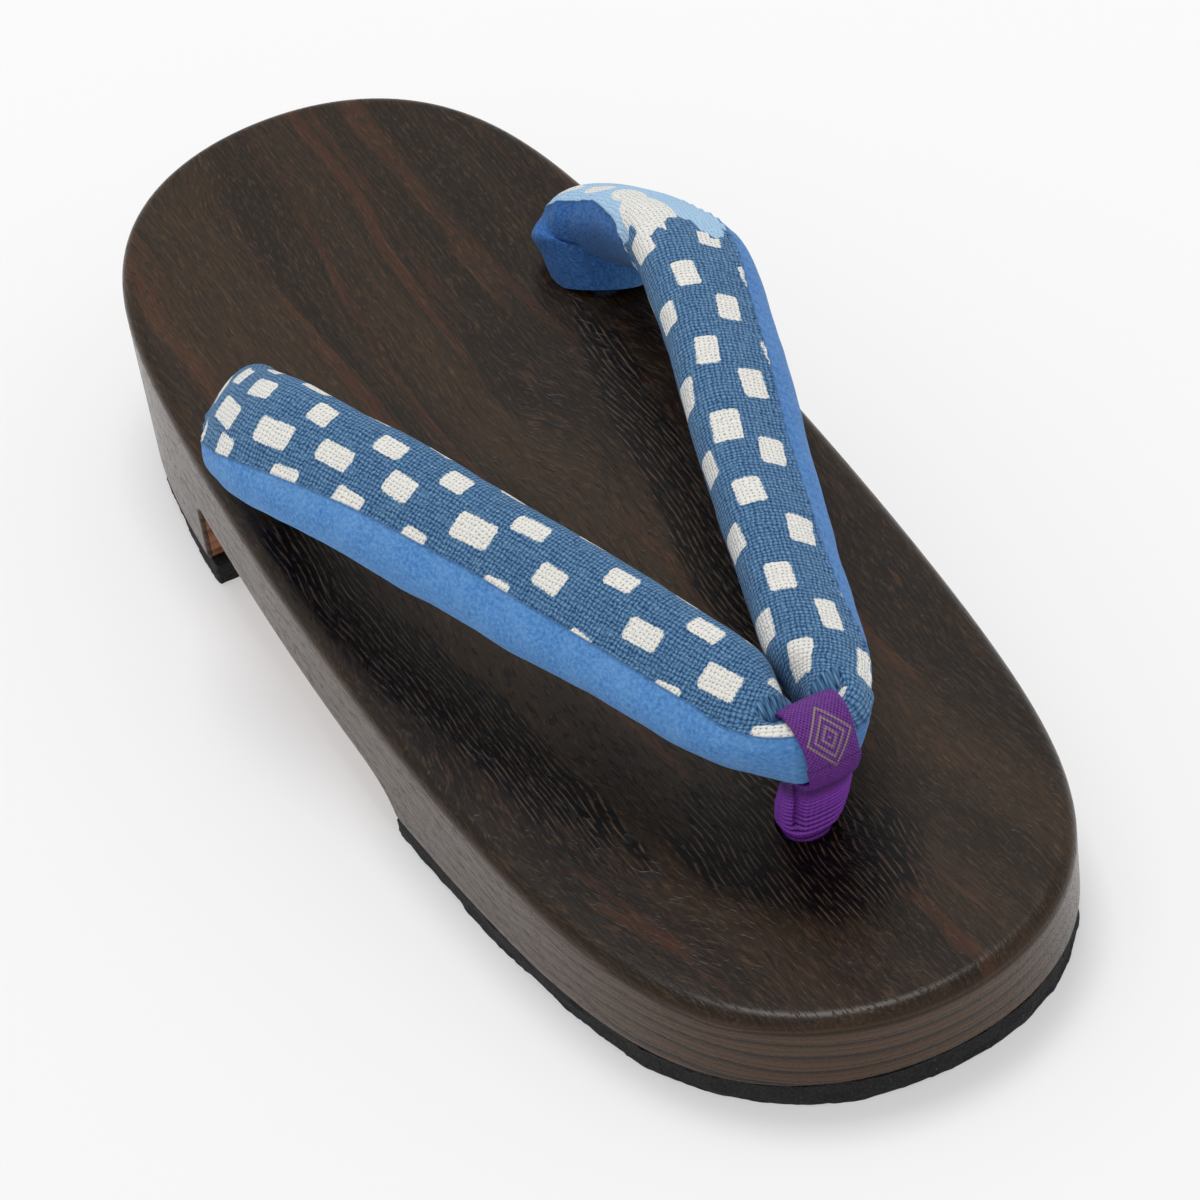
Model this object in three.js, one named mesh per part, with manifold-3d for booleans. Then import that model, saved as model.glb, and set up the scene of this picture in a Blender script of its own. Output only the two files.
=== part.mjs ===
// Geta sandal: a one-piece carved wooden base, two rubber treads, a padded V strap, a ribbon toe loop
// and the two knotted cords that hold the strap under the base.
// Millimetres. +Z up, +Y towards the toe, +X to the wearer's right. The origin is on the ground,
// under the middle of the base. The base is the same left and right, so the sandal fits either foot.

import * as THREE from 'three';
import { mergeVertices } from 'three/addons/utils/BufferGeometryUtils.js';
import Module from 'manifold-3d';

const wasm = await Module();
wasm.setup();

// ---------------------------------------------------------------- driving dimensions

const LENGTH = 240;             // heel to toe along the top rim
const HALF_LENGTH = LENGTH / 2;
const GAP = 0.3;                // between pieces that touch
const TREAD_THICKNESS = 4.5;    // rubber under the heel and the forefoot

// The outline of the top rim: half width = (middle + taper u + bulge u^2) (1 - |u|^end)^(1/corner),
// with u from -1 at the heel to +1 at the toe.
const OUTLINE = { middle: 46.6, taper: 0.85, bulge: -9.1, heelEnd: 8.2, toeEnd: 6.5, corner: 2.04 };

// The height of the foot bed over the ground: heel high, toe low, with a slight hollow between.
const DECK = { middle: 26.5, slope: -10.8, hollow: 3.6 };

const RIM_RADIUS = { inset: 2.9, drop: 2.5 };   // the rolled top edge
const WALL_TUCK = { side: 0.0, end: 3.2 };       // how far the wall leans in by the ground, sides and ends
const FOOT_RADIUS = 0.8;                        // the eased bottom edge of the wood

// The arch cut across the underside, seen from the side. Its ceiling runs parallel to the foot bed.
const ARCH = {
  heelFront: -57.6,      // front face of the heel block
  board: 15.8,           // wood left between the foot bed and the ceiling
  dropStart: 3.0,        // where the ceiling begins to curve down to the forefoot
  foreFoot: 19.6,        // back of the forefoot block at the ground
  fillet: 2.5,
};

// How far each tread stays inside the wood above it, at the sides and at the very ends.
const TREAD_INSET = { side: 0.3, end: 0.3 };
const TREAD_CUTS = { heelFront: -55.6, foreBack: 19.2 };

const HEEL_HOLE = { x: 33.0, y: -50.8, radius: 3.6 };
const TOE_HOLE = { x: 0, y: 76.0, radius: 4.8 };

// The two arms of the strap, each from its hole to the point of the V. x is the distance out from the
// middle line, height is the middle of the strap over the foot bed, wide and thick are half sizes,
// heading is the compass of its width in degrees from straight out towards the toe, and dip is how far
// the outer edge hangs down. The arms differ a little, as sewn and stuffed straps do.
const RIGHT_ROWS = [
  { x: 33.4, y: -49.6, height: -1.0, wide: 8.0, thick: 4.4, heading: 33, dip: 0 },
  { x: 34.2, y: -49.2, height: 5.4, wide: 9.0, thick: 4.9, heading: 33, dip: 4 },
  { x: 35.4, y: -46.4, height: 9.4, wide: 9.2, thick: 5.4, heading: 32, dip: 11 },
  { x: 37.8, y: -40.6, height: 12.4, wide: 10.0, thick: 5.8, heading: 29, dip: 22 },
  { x: 39.1, y: -33.6, height: 16.5, wide: 10.3, thick: 5.9, heading: 26, dip: 26 },
  { x: 38.2, y: -21.6, height: 21.4, wide: 10.8, thick: 5.8, heading: 23, dip: 28 },
  { x: 31.8, y: 0.0, height: 25.0, wide: 10.8, thick: 5.7, heading: 20, dip: 29 },
  { x: 23.8, y: 24.5, height: 26.0, wide: 10.5, thick: 5.7, heading: 18, dip: 30 },
  { x: 16.0, y: 49.0, height: 26.7, wide: 10.2, thick: 5.8, heading: 18, dip: 31 },
  { x: 8.2, y: 73.0, height: 26.3, wide: 9.2, thick: 5.7, heading: 20, dip: 32 },
  { x: 2.8, y: 85.0, height: 25.6, wide: 6.2, thick: 4.9, heading: 24, dip: 32 },
];
const LEFT_ROWS = [
  { x: 33.4, y: -52.6, height: -1.0, wide: 8.4, thick: 4.6, heading: 33, dip: 0 },
  { x: 34.0, y: -55.4, height: 5.8, wide: 9.8, thick: 5.2, heading: 33, dip: 2 },
  { x: 36.0, y: -54.2, height: 9.6, wide: 9.9, thick: 5.6, heading: 32, dip: 10 },
  { x: 38.5, y: -47.0, height: 12.8, wide: 10.0, thick: 5.9, heading: 30, dip: 20 },
  { x: 39.3, y: -38.6, height: 16.7, wide: 10.2, thick: 5.9, heading: 27, dip: 25 },
  { x: 38.4, y: -24.6, height: 21.4, wide: 10.4, thick: 5.8, heading: 23, dip: 27 },
  { x: 30.9, y: 0.0, height: 25.0, wide: 9.9, thick: 5.7, heading: 20, dip: 27 },
  { x: 22.6, y: 24.5, height: 26.2, wide: 9.2, thick: 5.6, heading: 18, dip: 27 },
  { x: 14.8, y: 49.0, height: 27.0, wide: 8.9, thick: 5.6, heading: 18, dip: 28 },
  { x: 7.2, y: 73.0, height: 26.6, wide: 8.0, thick: 5.5, heading: 20, dip: 31 },
  { x: 2.8, y: 85.0, height: 25.6, wide: 5.8, thick: 4.9, heading: 24, dip: 32 },
];
const ARM_STEPS = 30;            // sections along one arm
const ARM_SIDES = 20;            // corners round one section
const ARM_SQUARENESS = 2.3;      // 2 is an ellipse, more is boxier
const ARM_SAG = 0.6;             // how much fuller the underside is towards its outer edge

// The toe loop: a ribbon ring that holds the point of the V.
const LOOP = {
  x: 0.7, y: 86.6, z: 45.7,      // middle of the ring
  halfDepth: 5.9, halfHeight: 7.4,
  band: 1.3,                     // thickness of the folded ribbon
  halfWidth: 4.9,
};

// The post of the toe loop, from inside its hole up to the ring: half sizes at heights over the bed.
const POST_ROWS = [
  { height: -12.0, x: 0.0, y: 76.0, wide: 4.0, deep: 4.0 },
  { height: 0.2, x: 0.0, y: 76.0, wide: 4.0, deep: 4.0 },
  { height: 0.7, x: -0.3, y: 76.1, wide: 4.9, deep: 4.6 },
  { height: 2.4, x: -0.8, y: 76.4, wide: 5.6, deep: 4.6 },
  { height: 5.5, x: -1.1, y: 77.4, wide: 6.1, deep: 4.2 },
  { height: 10.0, x: -1.0, y: 79.6, wide: 6.1, deep: 3.9 },
  { height: 15.0, x: -0.3, y: 82.6, wide: 5.5, deep: 3.8 },
  { height: 20.5, x: 0.4, y: 85.8, wide: 4.7, deep: 3.6 },
];

const CORD = { radius: 2.9, knotRadius: 6.2, knotHeight: 8.0 };

// ---------------------------------------------------------------- closed meshes and solids

// Turns rings of equally many points into a closed body, with flat or folded caps.
function loft(rings, capTriangles) {
  const count = rings[0].length;
  const positions = rings.flat().flatMap((point) => [point.x, point.y, point.z]);
  const index = [];
  for (let ring = 0; ring + 1 < rings.length; ring += 1) {
    for (let corner = 0; corner < count; corner += 1) {
      const next = (corner + 1) % count;
      const a = ring * count + corner;
      const b = ring * count + next;
      index.push(a, b, b + count, a, b + count, a + count);
    }
  }
  const last = (rings.length - 1) * count;
  for (const [a, b, c] of capTriangles(count)) {
    index.push(a, c, b, last + a, last + b, last + c);
  }
  const geometry = new THREE.BufferGeometry();
  geometry.setAttribute('position', new THREE.Float32BufferAttribute(positions, 3));
  geometry.setIndex(index);
  return geometry;
}

// A cap in strips from side to side, for a ring that is symmetric about its first point.
function stripCap(count) {
  const triangles = [[count - 1, 0, 1]];
  for (let left = 1; left < count / 2 - 1; left += 1) {
    const right = count - left;
    triangles.push([right, left, left + 1], [right, left + 1, right - 1]);
  }
  triangles.push([count / 2 + 1, count / 2 - 1, count / 2]);
  return triangles;
}

// A cap in a fan from the first point, for a ring that bulges outwards all the way round.
function fanCap(count) {
  const triangles = [];
  for (let corner = 1; corner + 1 < count; corner += 1) triangles.push([0, corner, corner + 1]);
  return triangles;
}

function toSolid(geometry) {
  const bare = new THREE.BufferGeometry();
  bare.setAttribute('position', geometry.getAttribute('position').clone());
  if (geometry.getIndex()) bare.setIndex(geometry.getIndex().clone());
  const merged = mergeVertices(bare, 1e-4);
  return new wasm.Manifold(new wasm.Mesh({
    numProp: 3,
    vertProperties: new Float32Array(merged.getAttribute('position').array),
    triVerts: new Uint32Array(merged.getIndex().array),
  }));
}

function toGeometry(solid) {
  const mesh = solid.getMesh();
  const geometry = new THREE.BufferGeometry();
  geometry.setAttribute('position', new THREE.BufferAttribute(mesh.vertProperties, 3));
  geometry.setIndex(new THREE.BufferAttribute(mesh.triVerts, 1));
  geometry.computeVertexNormals();
  return geometry;
}

// A flat shape pushed along X: the shape's own x is the part's Y and its y is the part's Z.
function extrudeAcross(shape, from, to, curveSegments = 8) {
  const geometry = new THREE.ExtrudeGeometry(shape, { depth: to - from, bevelEnabled: false, curveSegments });
  const axes = new THREE.Matrix4().makeBasis(
    new THREE.Vector3(0, 1, 0), new THREE.Vector3(0, 0, 1), new THREE.Vector3(1, 0, 0));
  geometry.applyMatrix4(axes);
  geometry.translate(from, 0, 0);
  return toSolid(geometry);
}

function uprightCylinder(x, y, radius, bottom, top) {
  const geometry = new THREE.CylinderGeometry(radius, radius, top - bottom, 24);
  geometry.rotateX(Math.PI / 2);
  geometry.translate(x, y, (top + bottom) / 2);
  return toSolid(geometry);
}

// ---------------------------------------------------------------- the base's own functions

function rimHalfWidth(y) {
  const u = THREE.MathUtils.clamp(y / HALF_LENGTH, -1, 1);
  const end = u < 0 ? OUTLINE.heelEnd : OUTLINE.toeEnd;
  const side = OUTLINE.middle + OUTLINE.taper * u + OUTLINE.bulge * u * u;
  return side * (1 - Math.abs(u) ** end) ** (1 / OUTLINE.corner);
}

function deckHeight(y) {
  const u = y / HALF_LENGTH;
  return DECK.middle + DECK.slope * u + DECK.hollow * u * u;
}

// The rim as a loop of points with the way out at each: point 0 is the toe, and the -X side comes first.
function rimLoop(count) {
  const samples = 720;
  const dense = [];
  for (let step = 0; step <= samples; step += 1) {
    const y = HALF_LENGTH * Math.cos(Math.PI * step / samples);
    dense.push(new THREE.Vector2(-rimHalfWidth(y), y));
  }
  const lengths = [0];
  for (let step = 1; step <= samples; step += 1) {
    lengths.push(lengths[step - 1] + dense[step].distanceTo(dense[step - 1]));
  }
  const half = [];
  let at = 0;
  for (let step = 0; step <= count / 2; step += 1) {
    const target = lengths[samples] * step / (count / 2);
    while (at < samples - 1 && lengths[at + 1] < target) at += 1;
    const part = (target - lengths[at]) / (lengths[at + 1] - lengths[at]);
    const point = dense[at].clone().lerp(dense[at + 1], part);
    const along = dense[Math.min(at + 4, samples)].clone().sub(dense[Math.max(at - 3, 0)]);
    const out = new THREE.Vector2(along.y, -along.x).normalize();
    half.push({ point, out });
  }
  half[0].out.set(0, 1);
  half[count / 2].out.set(0, -1);
  const mirrored = half.slice(1, -1).reverse().map(({ point, out }) => ({
    point: new THREE.Vector2(-point.x, point.y),
    out: new THREE.Vector2(-out.x, out.y),
  }));
  return [...half, ...mirrored];
}

function insetRing(rim, inset, heightAt) {
  return rim.map((place) => {
    const x = place.point.x - place.out.x * inset(place);
    const y = place.point.y - place.out.y * inset(place);
    return new THREE.Vector3(x, y, heightAt(place.point, y));
  });
}

// How far the wall stands inside the rim at a height, at one place on the rim.
function wallInset({ point, out }, height) {
  const top = deckHeight(point.y) - RIM_RADIUS.drop;
  const tuck = THREE.MathUtils.lerp(WALL_TUCK.side, WALL_TUCK.end, out.y ** 2);
  return tuck * Math.max(1 - height / top, 0);
}

// ---------------------------------------------------------------- wooden base

function ceilingHeight(y) {
  return deckHeight(y) - ARCH.board;
}

function archCut() {
  const below = -1;
  const steps = 8;
  const shape = new THREE.Shape();
  shape.moveTo(ARCH.heelFront, below);
  shape.lineTo(ARCH.heelFront, ceilingHeight(ARCH.heelFront) - ARCH.fillet);
  const flat = ARCH.heelFront + ARCH.fillet;
  shape.quadraticCurveTo(ARCH.heelFront, ceilingHeight(ARCH.heelFront), flat, ceilingHeight(flat));
  for (let step = 1; step <= steps; step += 1) {
    const y = THREE.MathUtils.lerp(flat, ARCH.dropStart, step / steps);
    shape.lineTo(y, ceilingHeight(y));
  }
  const reach = ARCH.foreFoot - ARCH.dropStart;
  shape.bezierCurveTo(ARCH.dropStart + 0.5 * reach, ceilingHeight(ARCH.dropStart) - 0.6,
    ARCH.foreFoot - 2.2, 2 * TREAD_THICKNESS, ARCH.foreFoot, TREAD_THICKNESS);
  shape.lineTo(ARCH.foreFoot, below);
  shape.closePath();
  return extrudeAcross(shape, -HALF_LENGTH, HALF_LENGTH, 10);
}

function woodenBase() {
  const rim = rimLoop(96);
  const rollSteps = 5;
  const rings = [];
  rings.push(insetRing(rim, (place) => wallInset(place, TREAD_THICKNESS) + FOOT_RADIUS,
    () => TREAD_THICKNESS));
  rings.push(insetRing(rim, (place) => wallInset(place, TREAD_THICKNESS + FOOT_RADIUS),
    () => TREAD_THICKNESS + FOOT_RADIUS));
  rings.push(insetRing(rim, () => 0, (point, y) => deckHeight(y) - RIM_RADIUS.drop));
  for (let step = 1; step <= rollSteps; step += 1) {
    const turn = (Math.PI / 2) * (step / rollSteps);
    const inset = RIM_RADIUS.inset * (1 - Math.cos(turn));
    const drop = RIM_RADIUS.drop * (1 - Math.sin(turn));
    rings.push(insetRing(rim, () => inset, (point, y) => deckHeight(y) - drop));
  }
  let solid = toSolid(loft(rings, stripCap));
  solid = solid.subtract(archCut());
  solid = solid.subtract(uprightCylinder(TOE_HOLE.x, TOE_HOLE.y, TOE_HOLE.radius, 0, HALF_LENGTH));
  for (const side of [-1, 1]) {
    const hole = uprightCylinder(side * HEEL_HOLE.x, HEEL_HOLE.y, HEEL_HOLE.radius, 0, HALF_LENGTH);
    solid = solid.subtract(hole);
  }
  return toGeometry(solid);
}

// ---------------------------------------------------------------- rubber treads

// One tread: the base's foot outline, stepped in, between two cuts across the sandal.
function tread(from, to, facets) {
  const rim = rimLoop(facets);
  const outline = rim.map((place) => {
    const { point, out } = place;
    const step = THREE.MathUtils.lerp(TREAD_INSET.side, TREAD_INSET.end, out.y ** 2);
    const inset = wallInset(place, TREAD_THICKNESS) + step;
    return new THREE.Vector2(point.x - out.x * inset, point.y - out.y * inset);
  });
  const sheet = new THREE.ExtrudeGeometry(new THREE.Shape(outline),
    { depth: TREAD_THICKNESS - GAP, bevelEnabled: false });
  const cutShape = new THREE.Shape();
  const wide = HALF_LENGTH;
  cutShape.moveTo(-wide, from);
  cutShape.lineTo(wide, from);
  cutShape.lineTo(wide, to);
  cutShape.lineTo(-wide, to);
  cutShape.closePath();
  const block = new THREE.ExtrudeGeometry(cutShape, { depth: TREAD_THICKNESS, bevelEnabled: false });
  return toGeometry(toSolid(sheet).intersect(toSolid(block)));
}

// ---------------------------------------------------------------- padded strap

function rowCurve(rows, name) {
  return new THREE.CatmullRomCurve3(
    rows.map((row, at) => new THREE.Vector3(at, row[name], 0)), false, 'catmullrom', 0.5);
}

function armCurves(rows) {
  return Object.fromEntries(Object.keys(rows[0]).map((name) => [name, rowCurve(rows, name)]));
}

const ARM_CURVES = {
  1: armCurves(RIGHT_ROWS),
  [-1]: armCurves(LEFT_ROWS),
};

// The arm at a share of its rows, from 0 at the hole to 1 at the point. side is +1 or -1.
function armAt(share, side) {
  const value = Object.fromEntries(
    Object.entries(ARM_CURVES[side]).map(([name, curve]) => [name, curve.getPoint(share).y]));
  const heading = THREE.MathUtils.degToRad(value.heading);
  const dip = THREE.MathUtils.degToRad(value.dip);
  return {
    middle: new THREE.Vector3(side * value.x, value.y, deckHeight(value.y) + value.height),
    wide: value.wide,
    thick: value.thick,
    across: new THREE.Vector3(
      side * Math.cos(heading) * Math.cos(dip), Math.sin(heading) * Math.cos(dip), -Math.sin(dip)),
  };
}

function armSolid(side) {
  const rings = [];
  for (let step = 0; step <= ARM_STEPS; step += 1) {
    const share = step / ARM_STEPS;
    const here = armAt(share, side);
    const ahead = armAt(Math.min(share + 0.01, 1), side).middle;
    const behind = armAt(Math.max(share - 0.01, 0), side).middle;
    const along = ahead.sub(behind).normalize();
    const up = new THREE.Vector3().crossVectors(here.across, along).multiplyScalar(side).normalize();
    const ring = [];
    for (let corner = 0; corner < ARM_SIDES; corner += 1) {
      const turn = -side * 2 * Math.PI * corner / ARM_SIDES;
      const power = 2 / ARM_SQUARENESS;
      const across = here.wide * Math.sign(Math.cos(turn)) * Math.abs(Math.cos(turn)) ** power;
      const below = Math.sin(turn) < 0 ? 1 + ARM_SAG * (0.5 + 0.5 * Math.cos(turn)) : 1;
      const rise = here.thick * below * Math.sign(Math.sin(turn)) * Math.abs(Math.sin(turn)) ** power;
      ring.push(here.middle.clone().addScaledVector(here.across, across).addScaledVector(up, rise));
    }
    rings.push(ring);
  }
  return toSolid(loft(rings, fanCap));
}

// ---------------------------------------------------------------- toe loop

function ringPrism(grow, halfWidth) {
  const shape = new THREE.Shape();
  shape.absellipse(0, 0, LOOP.halfDepth + grow, LOOP.halfHeight + grow, 0, 2 * Math.PI);
  const prism = extrudeAcross(shape, -halfWidth, halfWidth, 10);
  return prism.translate([LOOP.x, LOOP.y, LOOP.z]);
}

function postSolid(grow) {
  const rings = POST_ROWS.map((row) => {
    const ring = [];
    for (let corner = 0; corner < 20; corner += 1) {
      const turn = 2 * Math.PI * corner / 20;
      const power = 0.8;
      const x = row.x + (row.wide + grow) * Math.sign(Math.cos(turn)) * Math.abs(Math.cos(turn)) ** power;
      const y = row.y + (row.deep + grow) * Math.sign(Math.sin(turn)) * Math.abs(Math.sin(turn)) ** power;
      ring.push(new THREE.Vector3(x, y, deckHeight(TOE_HOLE.y) + row.height));
    }
    return ring;
  });
  return toSolid(loft(rings, fanCap));
}

function toeLoop() {
  const ring = ringPrism(0, LOOP.halfWidth);
  const inside = ringPrism(-LOOP.band, LOOP.halfWidth + 1);
  return toGeometry(ring.add(postSolid(0)).subtract(inside));
}

// The space that the foot bed takes under the strap's rear ends, with the gap over it.
function bedUnderStrap() {
  const from = -70;
  const to = -30;
  const steps = 8;
  const shape = new THREE.Shape();
  shape.moveTo(from, 0);
  shape.lineTo(to, 0);
  for (let step = 0; step <= steps; step += 1) {
    const y = THREE.MathUtils.lerp(to, from, step / steps);
    shape.lineTo(y, deckHeight(y) + GAP);
  }
  shape.closePath();
  return extrudeAcross(shape, -HALF_LENGTH, HALF_LENGTH);
}

function paddedStrap() {
  const arms = armSolid(1).add(armSolid(-1));
  const reach = LOOP.halfWidth + GAP;
  const around = ringPrism(GAP, reach).subtract(ringPrism(-LOOP.band - GAP, reach + 1));
  return toGeometry(arms.subtract(around).subtract(postSolid(GAP)).subtract(bedUnderStrap()));
}

// ---------------------------------------------------------------- heel cords

// The strap's core cord: down through its hole and into a knot under the foot bed.
function heelCord(side) {
  const top = deckHeight(HEEL_HOLE.y + CORD.radius) - GAP;
  const ceiling = ceilingHeight(HEEL_HOLE.y + CORD.knotRadius) - GAP;
  const middle = ceiling - CORD.knotHeight / 2;
  const profile = [new THREE.Vector2(0, middle - CORD.knotHeight / 2)];
  const steps = 8;
  for (let step = 1; step < steps; step += 1) {
    const turn = Math.PI * (step / steps) - Math.PI / 2;
    profile.push(new THREE.Vector2(CORD.knotRadius * Math.cos(turn),
      middle + (CORD.knotHeight / 2) * Math.sin(turn)));
  }
  profile.push(new THREE.Vector2(CORD.radius, ceiling));
  profile.push(new THREE.Vector2(CORD.radius, top));
  profile.push(new THREE.Vector2(0, top));
  const geometry = new THREE.LatheGeometry(profile, 20);
  geometry.rotateX(Math.PI / 2);
  geometry.translate(side * HEEL_HOLE.x, HEEL_HOLE.y, 0);
  return toGeometry(toSolid(geometry));
}

// ---------------------------------------------------------------- the assembly

const MATERIALS = {
  wood: new THREE.MeshStandardMaterial({ color: 0x3a2a22, roughness: 0.45, metalness: 0 }),
  rubber: new THREE.MeshStandardMaterial({ color: 0x1c1c1e, roughness: 0.9, metalness: 0 }),
  cloth: new THREE.MeshStandardMaterial({ color: 0x3f6b96, roughness: 0.9, metalness: 0 }),
  ribbon: new THREE.MeshStandardMaterial({ color: 0x5d1f9a, roughness: 0.6, metalness: 0 }),
  cord: new THREE.MeshStandardMaterial({ color: 0x1f2a44, roughness: 0.9, metalness: 0 }),
};

function piece(name, geometry, material) {
  const mesh = new THREE.Mesh(geometry, material);
  mesh.name = name;
  return mesh;
}

const geta = new THREE.Group();
geta.add(piece('wooden_base', woodenBase(), MATERIALS.wood));
geta.add(piece('forefoot_tread', tread(TREAD_CUTS.foreBack, LENGTH, 60), MATERIALS.rubber));
geta.add(piece('heel_tread', tread(-LENGTH, TREAD_CUTS.heelFront, 60), MATERIALS.rubber));
geta.add(piece('padded_strap', paddedStrap(), MATERIALS.cloth));
geta.add(piece('toe_loop', toeLoop(), MATERIALS.ribbon));
geta.add(piece('heel_cord_right', heelCord(1), MATERIALS.cord));
geta.add(piece('heel_cord_left', heelCord(-1), MATERIALS.cord));

export default geta;
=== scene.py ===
"""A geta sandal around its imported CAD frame: carved wooden base, rubber treads, padded strap, ribbon loop.

Sizes are in millimetres until a mesh is made, and repeat those of the CAD source.
"""

import math
from functools import partialmethod

import bmesh
import bpy
import numpy as np
from mathutils import Matrix, Vector


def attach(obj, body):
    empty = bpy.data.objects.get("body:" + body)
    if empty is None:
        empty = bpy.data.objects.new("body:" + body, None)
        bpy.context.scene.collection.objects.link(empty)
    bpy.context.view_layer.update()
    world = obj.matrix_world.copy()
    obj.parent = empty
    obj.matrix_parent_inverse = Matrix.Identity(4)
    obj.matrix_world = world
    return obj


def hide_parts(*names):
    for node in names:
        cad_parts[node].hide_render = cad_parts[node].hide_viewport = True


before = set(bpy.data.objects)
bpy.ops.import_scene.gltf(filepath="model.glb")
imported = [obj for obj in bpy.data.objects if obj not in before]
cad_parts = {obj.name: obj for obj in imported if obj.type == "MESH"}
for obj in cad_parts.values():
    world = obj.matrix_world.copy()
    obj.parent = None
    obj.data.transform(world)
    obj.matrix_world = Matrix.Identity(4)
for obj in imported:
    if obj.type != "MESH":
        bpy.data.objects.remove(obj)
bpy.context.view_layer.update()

MM = 0.001
SEED = 11
GAP = 0.3

# ---------- sizes shared with the CAD source

HALF_LENGTH = 120.0
TREAD_THICKNESS = 4.5
OUTLINE = {"middle": 46.6, "taper": 0.85, "bulge": -9.1, "heel_end": 8.2, "toe_end": 6.5, "corner": 2.04}
DECK = {"middle": 26.5, "slope": -10.8, "hollow": 3.6}
RIM_RADIUS = {"inset": 2.9, "drop": 2.5}
WALL_TUCK = {"side": 0.0, "end": 3.2}
FOOT_RADIUS = 0.8
ARCH = {"heel_front": -57.6, "board": 15.8, "drop_start": 3.0, "fore_foot": 19.6, "fillet": 2.5}
TREAD_INSET = 0.3
TREAD_CUTS = {"heel_front": -55.6, "fore_back": 19.2}
HEEL_HOLE = {"x": 33.0, "y": -50.8, "radius": 3.6}
TOE_HOLE = {"x": 0.0, "y": 76.0, "radius": 4.8}
LOOP = {"x": 0.7, "y": 86.6, "z": 45.7, "half_depth": 5.9, "half_height": 7.4, "band": 1.3,
        "half_width": 4.9}
CORD = {"radius": 2.9, "knot_radius": 6.2, "knot_height": 8.0}

ARM_NAMES = ("x", "y", "height", "wide", "thick", "heading", "dip")
ARM_ROWS = {
    1: [
        (33.4, -49.6, -1.0, 8.0, 4.4, 33, 0),
        (34.2, -49.2, 5.4, 9.0, 4.9, 33, 4),
        (35.4, -46.4, 9.4, 9.2, 5.4, 32, 11),
        (37.8, -40.6, 12.4, 10.0, 5.8, 29, 22),
        (39.1, -33.6, 16.5, 10.3, 5.9, 26, 26),
        (38.2, -21.6, 21.4, 10.8, 5.8, 23, 28),
        (31.8, 0.0, 25.0, 10.8, 5.7, 20, 29),
        (23.8, 24.5, 26.0, 10.5, 5.7, 18, 30),
        (16.0, 49.0, 26.7, 10.2, 5.8, 18, 31),
        (8.4, 72.0, 26.3, 9.3, 5.7, 21, 31),
        (6.2, 79.4, 26.1, 7.5, 5.8, 34, 28),
        (3.7, 84.4, 25.7, 5.6, 6.0, 62, 14),
        (0.0, 86.6, 25.1, 4.3, 5.8, 90, 0),
    ],
    -1: [
        (33.4, -52.6, -1.0, 8.4, 4.6, 33, 0),
        (34.0, -55.4, 5.8, 9.8, 5.2, 33, 2),
        (36.0, -54.2, 9.6, 9.9, 5.6, 32, 10),
        (38.5, -47.0, 12.8, 10.0, 5.9, 30, 20),
        (39.3, -38.6, 16.7, 10.2, 5.9, 27, 25),
        (38.4, -24.6, 21.4, 10.4, 5.8, 23, 27),
        (30.9, 0.0, 25.0, 9.9, 5.7, 20, 27),
        (22.6, 24.5, 26.2, 9.2, 5.6, 18, 27),
        (14.8, 49.0, 27.0, 8.9, 5.6, 18, 28),
        (7.6, 72.0, 26.6, 8.2, 5.6, 20, 30),
        (5.6, 79.2, 26.2, 6.3, 5.6, 34, 27),
        (3.7, 84.0, 25.8, 5.5, 5.9, 57, 16),
        (0.0, 86.6, 25.1, 4.3, 5.8, 90, 0),
    ],
}
ARM_SQUARENESS = 2.3
ARM_SAG = 0.6

# Post of the toe loop: height over the foot bed, x, y, half width, half depth.
POST_ROWS = [
    (-12.0, 0.0, 76.0, 4.0, 4.0),
    (0.2, 0.0, 76.0, 4.0, 4.0),
    (0.7, -0.3, 76.1, 4.9, 4.6),
    (2.4, -0.8, 76.4, 5.6, 4.6),
    (5.5, -1.1, 77.4, 6.1, 4.2),
    (10.0, -1.0, 79.6, 6.1, 3.9),
    (15.0, -0.3, 82.6, 5.5, 3.8),
    (20.5, 0.4, 85.8, 4.7, 3.6),
]

# ---------- detail beyond the CAD source

# The rim's curve: points it is worked out at, and points it is kept at.
RIM_SAMPLES = 4001
RIM_POINTS = 1601

# The base's mesh: rings round its foot's edge, up its wall and over its rim, strips across its foot bed,
# and how closely its columns stand: more of them in bends and near the heel's and the toe's end.
BASE_RINGS = {"foot": 6, "wall": 13, "rim": 9}
DECK_STRIPS = 32
COLUMNS = {"pitch": 1.5, "bend": 3.0, "bend_most": 2.4, "at_ends": 1.3, "heel_reach": 30, "toe_reach": 34}

# The underside's wood is bare above this height.
BARE_ABOVE = 5.2
DRILL = {"segments": 40, "middle": 20.0, "depth": 80.0}
SHARP = {"base": 38, "tread": 35, "cloth": 60}

# A tread's knife strokes, its edge's points, and how far that edge wanders.
TREAD_STROKE = {"length": 7.5, "jog": 0.9, "inset": (-0.2, 0.25), "uneven": 0.15}
TREAD_EDGE = {"step": 0.8, "inset": 0.12, "wave": 0.1, "grain": 0.05, "most": 0.24}
TREAD_LEVELS = [(0.0, 0.45), (0.12, 0.12), (0.45, 0.0), (1.2, 0.0), (2.0, 0.0), (2.8, 0.0), (3.5, 0.0),
                (TREAD_THICKNESS - GAP - 0.15, 0.03), (TREAD_THICKNESS - GAP, 0.15)]

# Rings along an arm, points round it, and where round it each ring starts.
ARM_STEPS = 330
ARM_AROUND = 96
ARM_START = -0.5 * math.pi
HOLE_REACH = 24
ARM_SEED = {1: SEED + 20, -1: SEED + 40}
SEAM = {"depth": 0.3, "half_wide": 0.5, "pucker": 0.14, "pucker_pitch": 3.1, "pucker_reach": 2.2}
LUMPS = [(0.16, (14, 7)), (0.05, (4, 3))]

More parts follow.
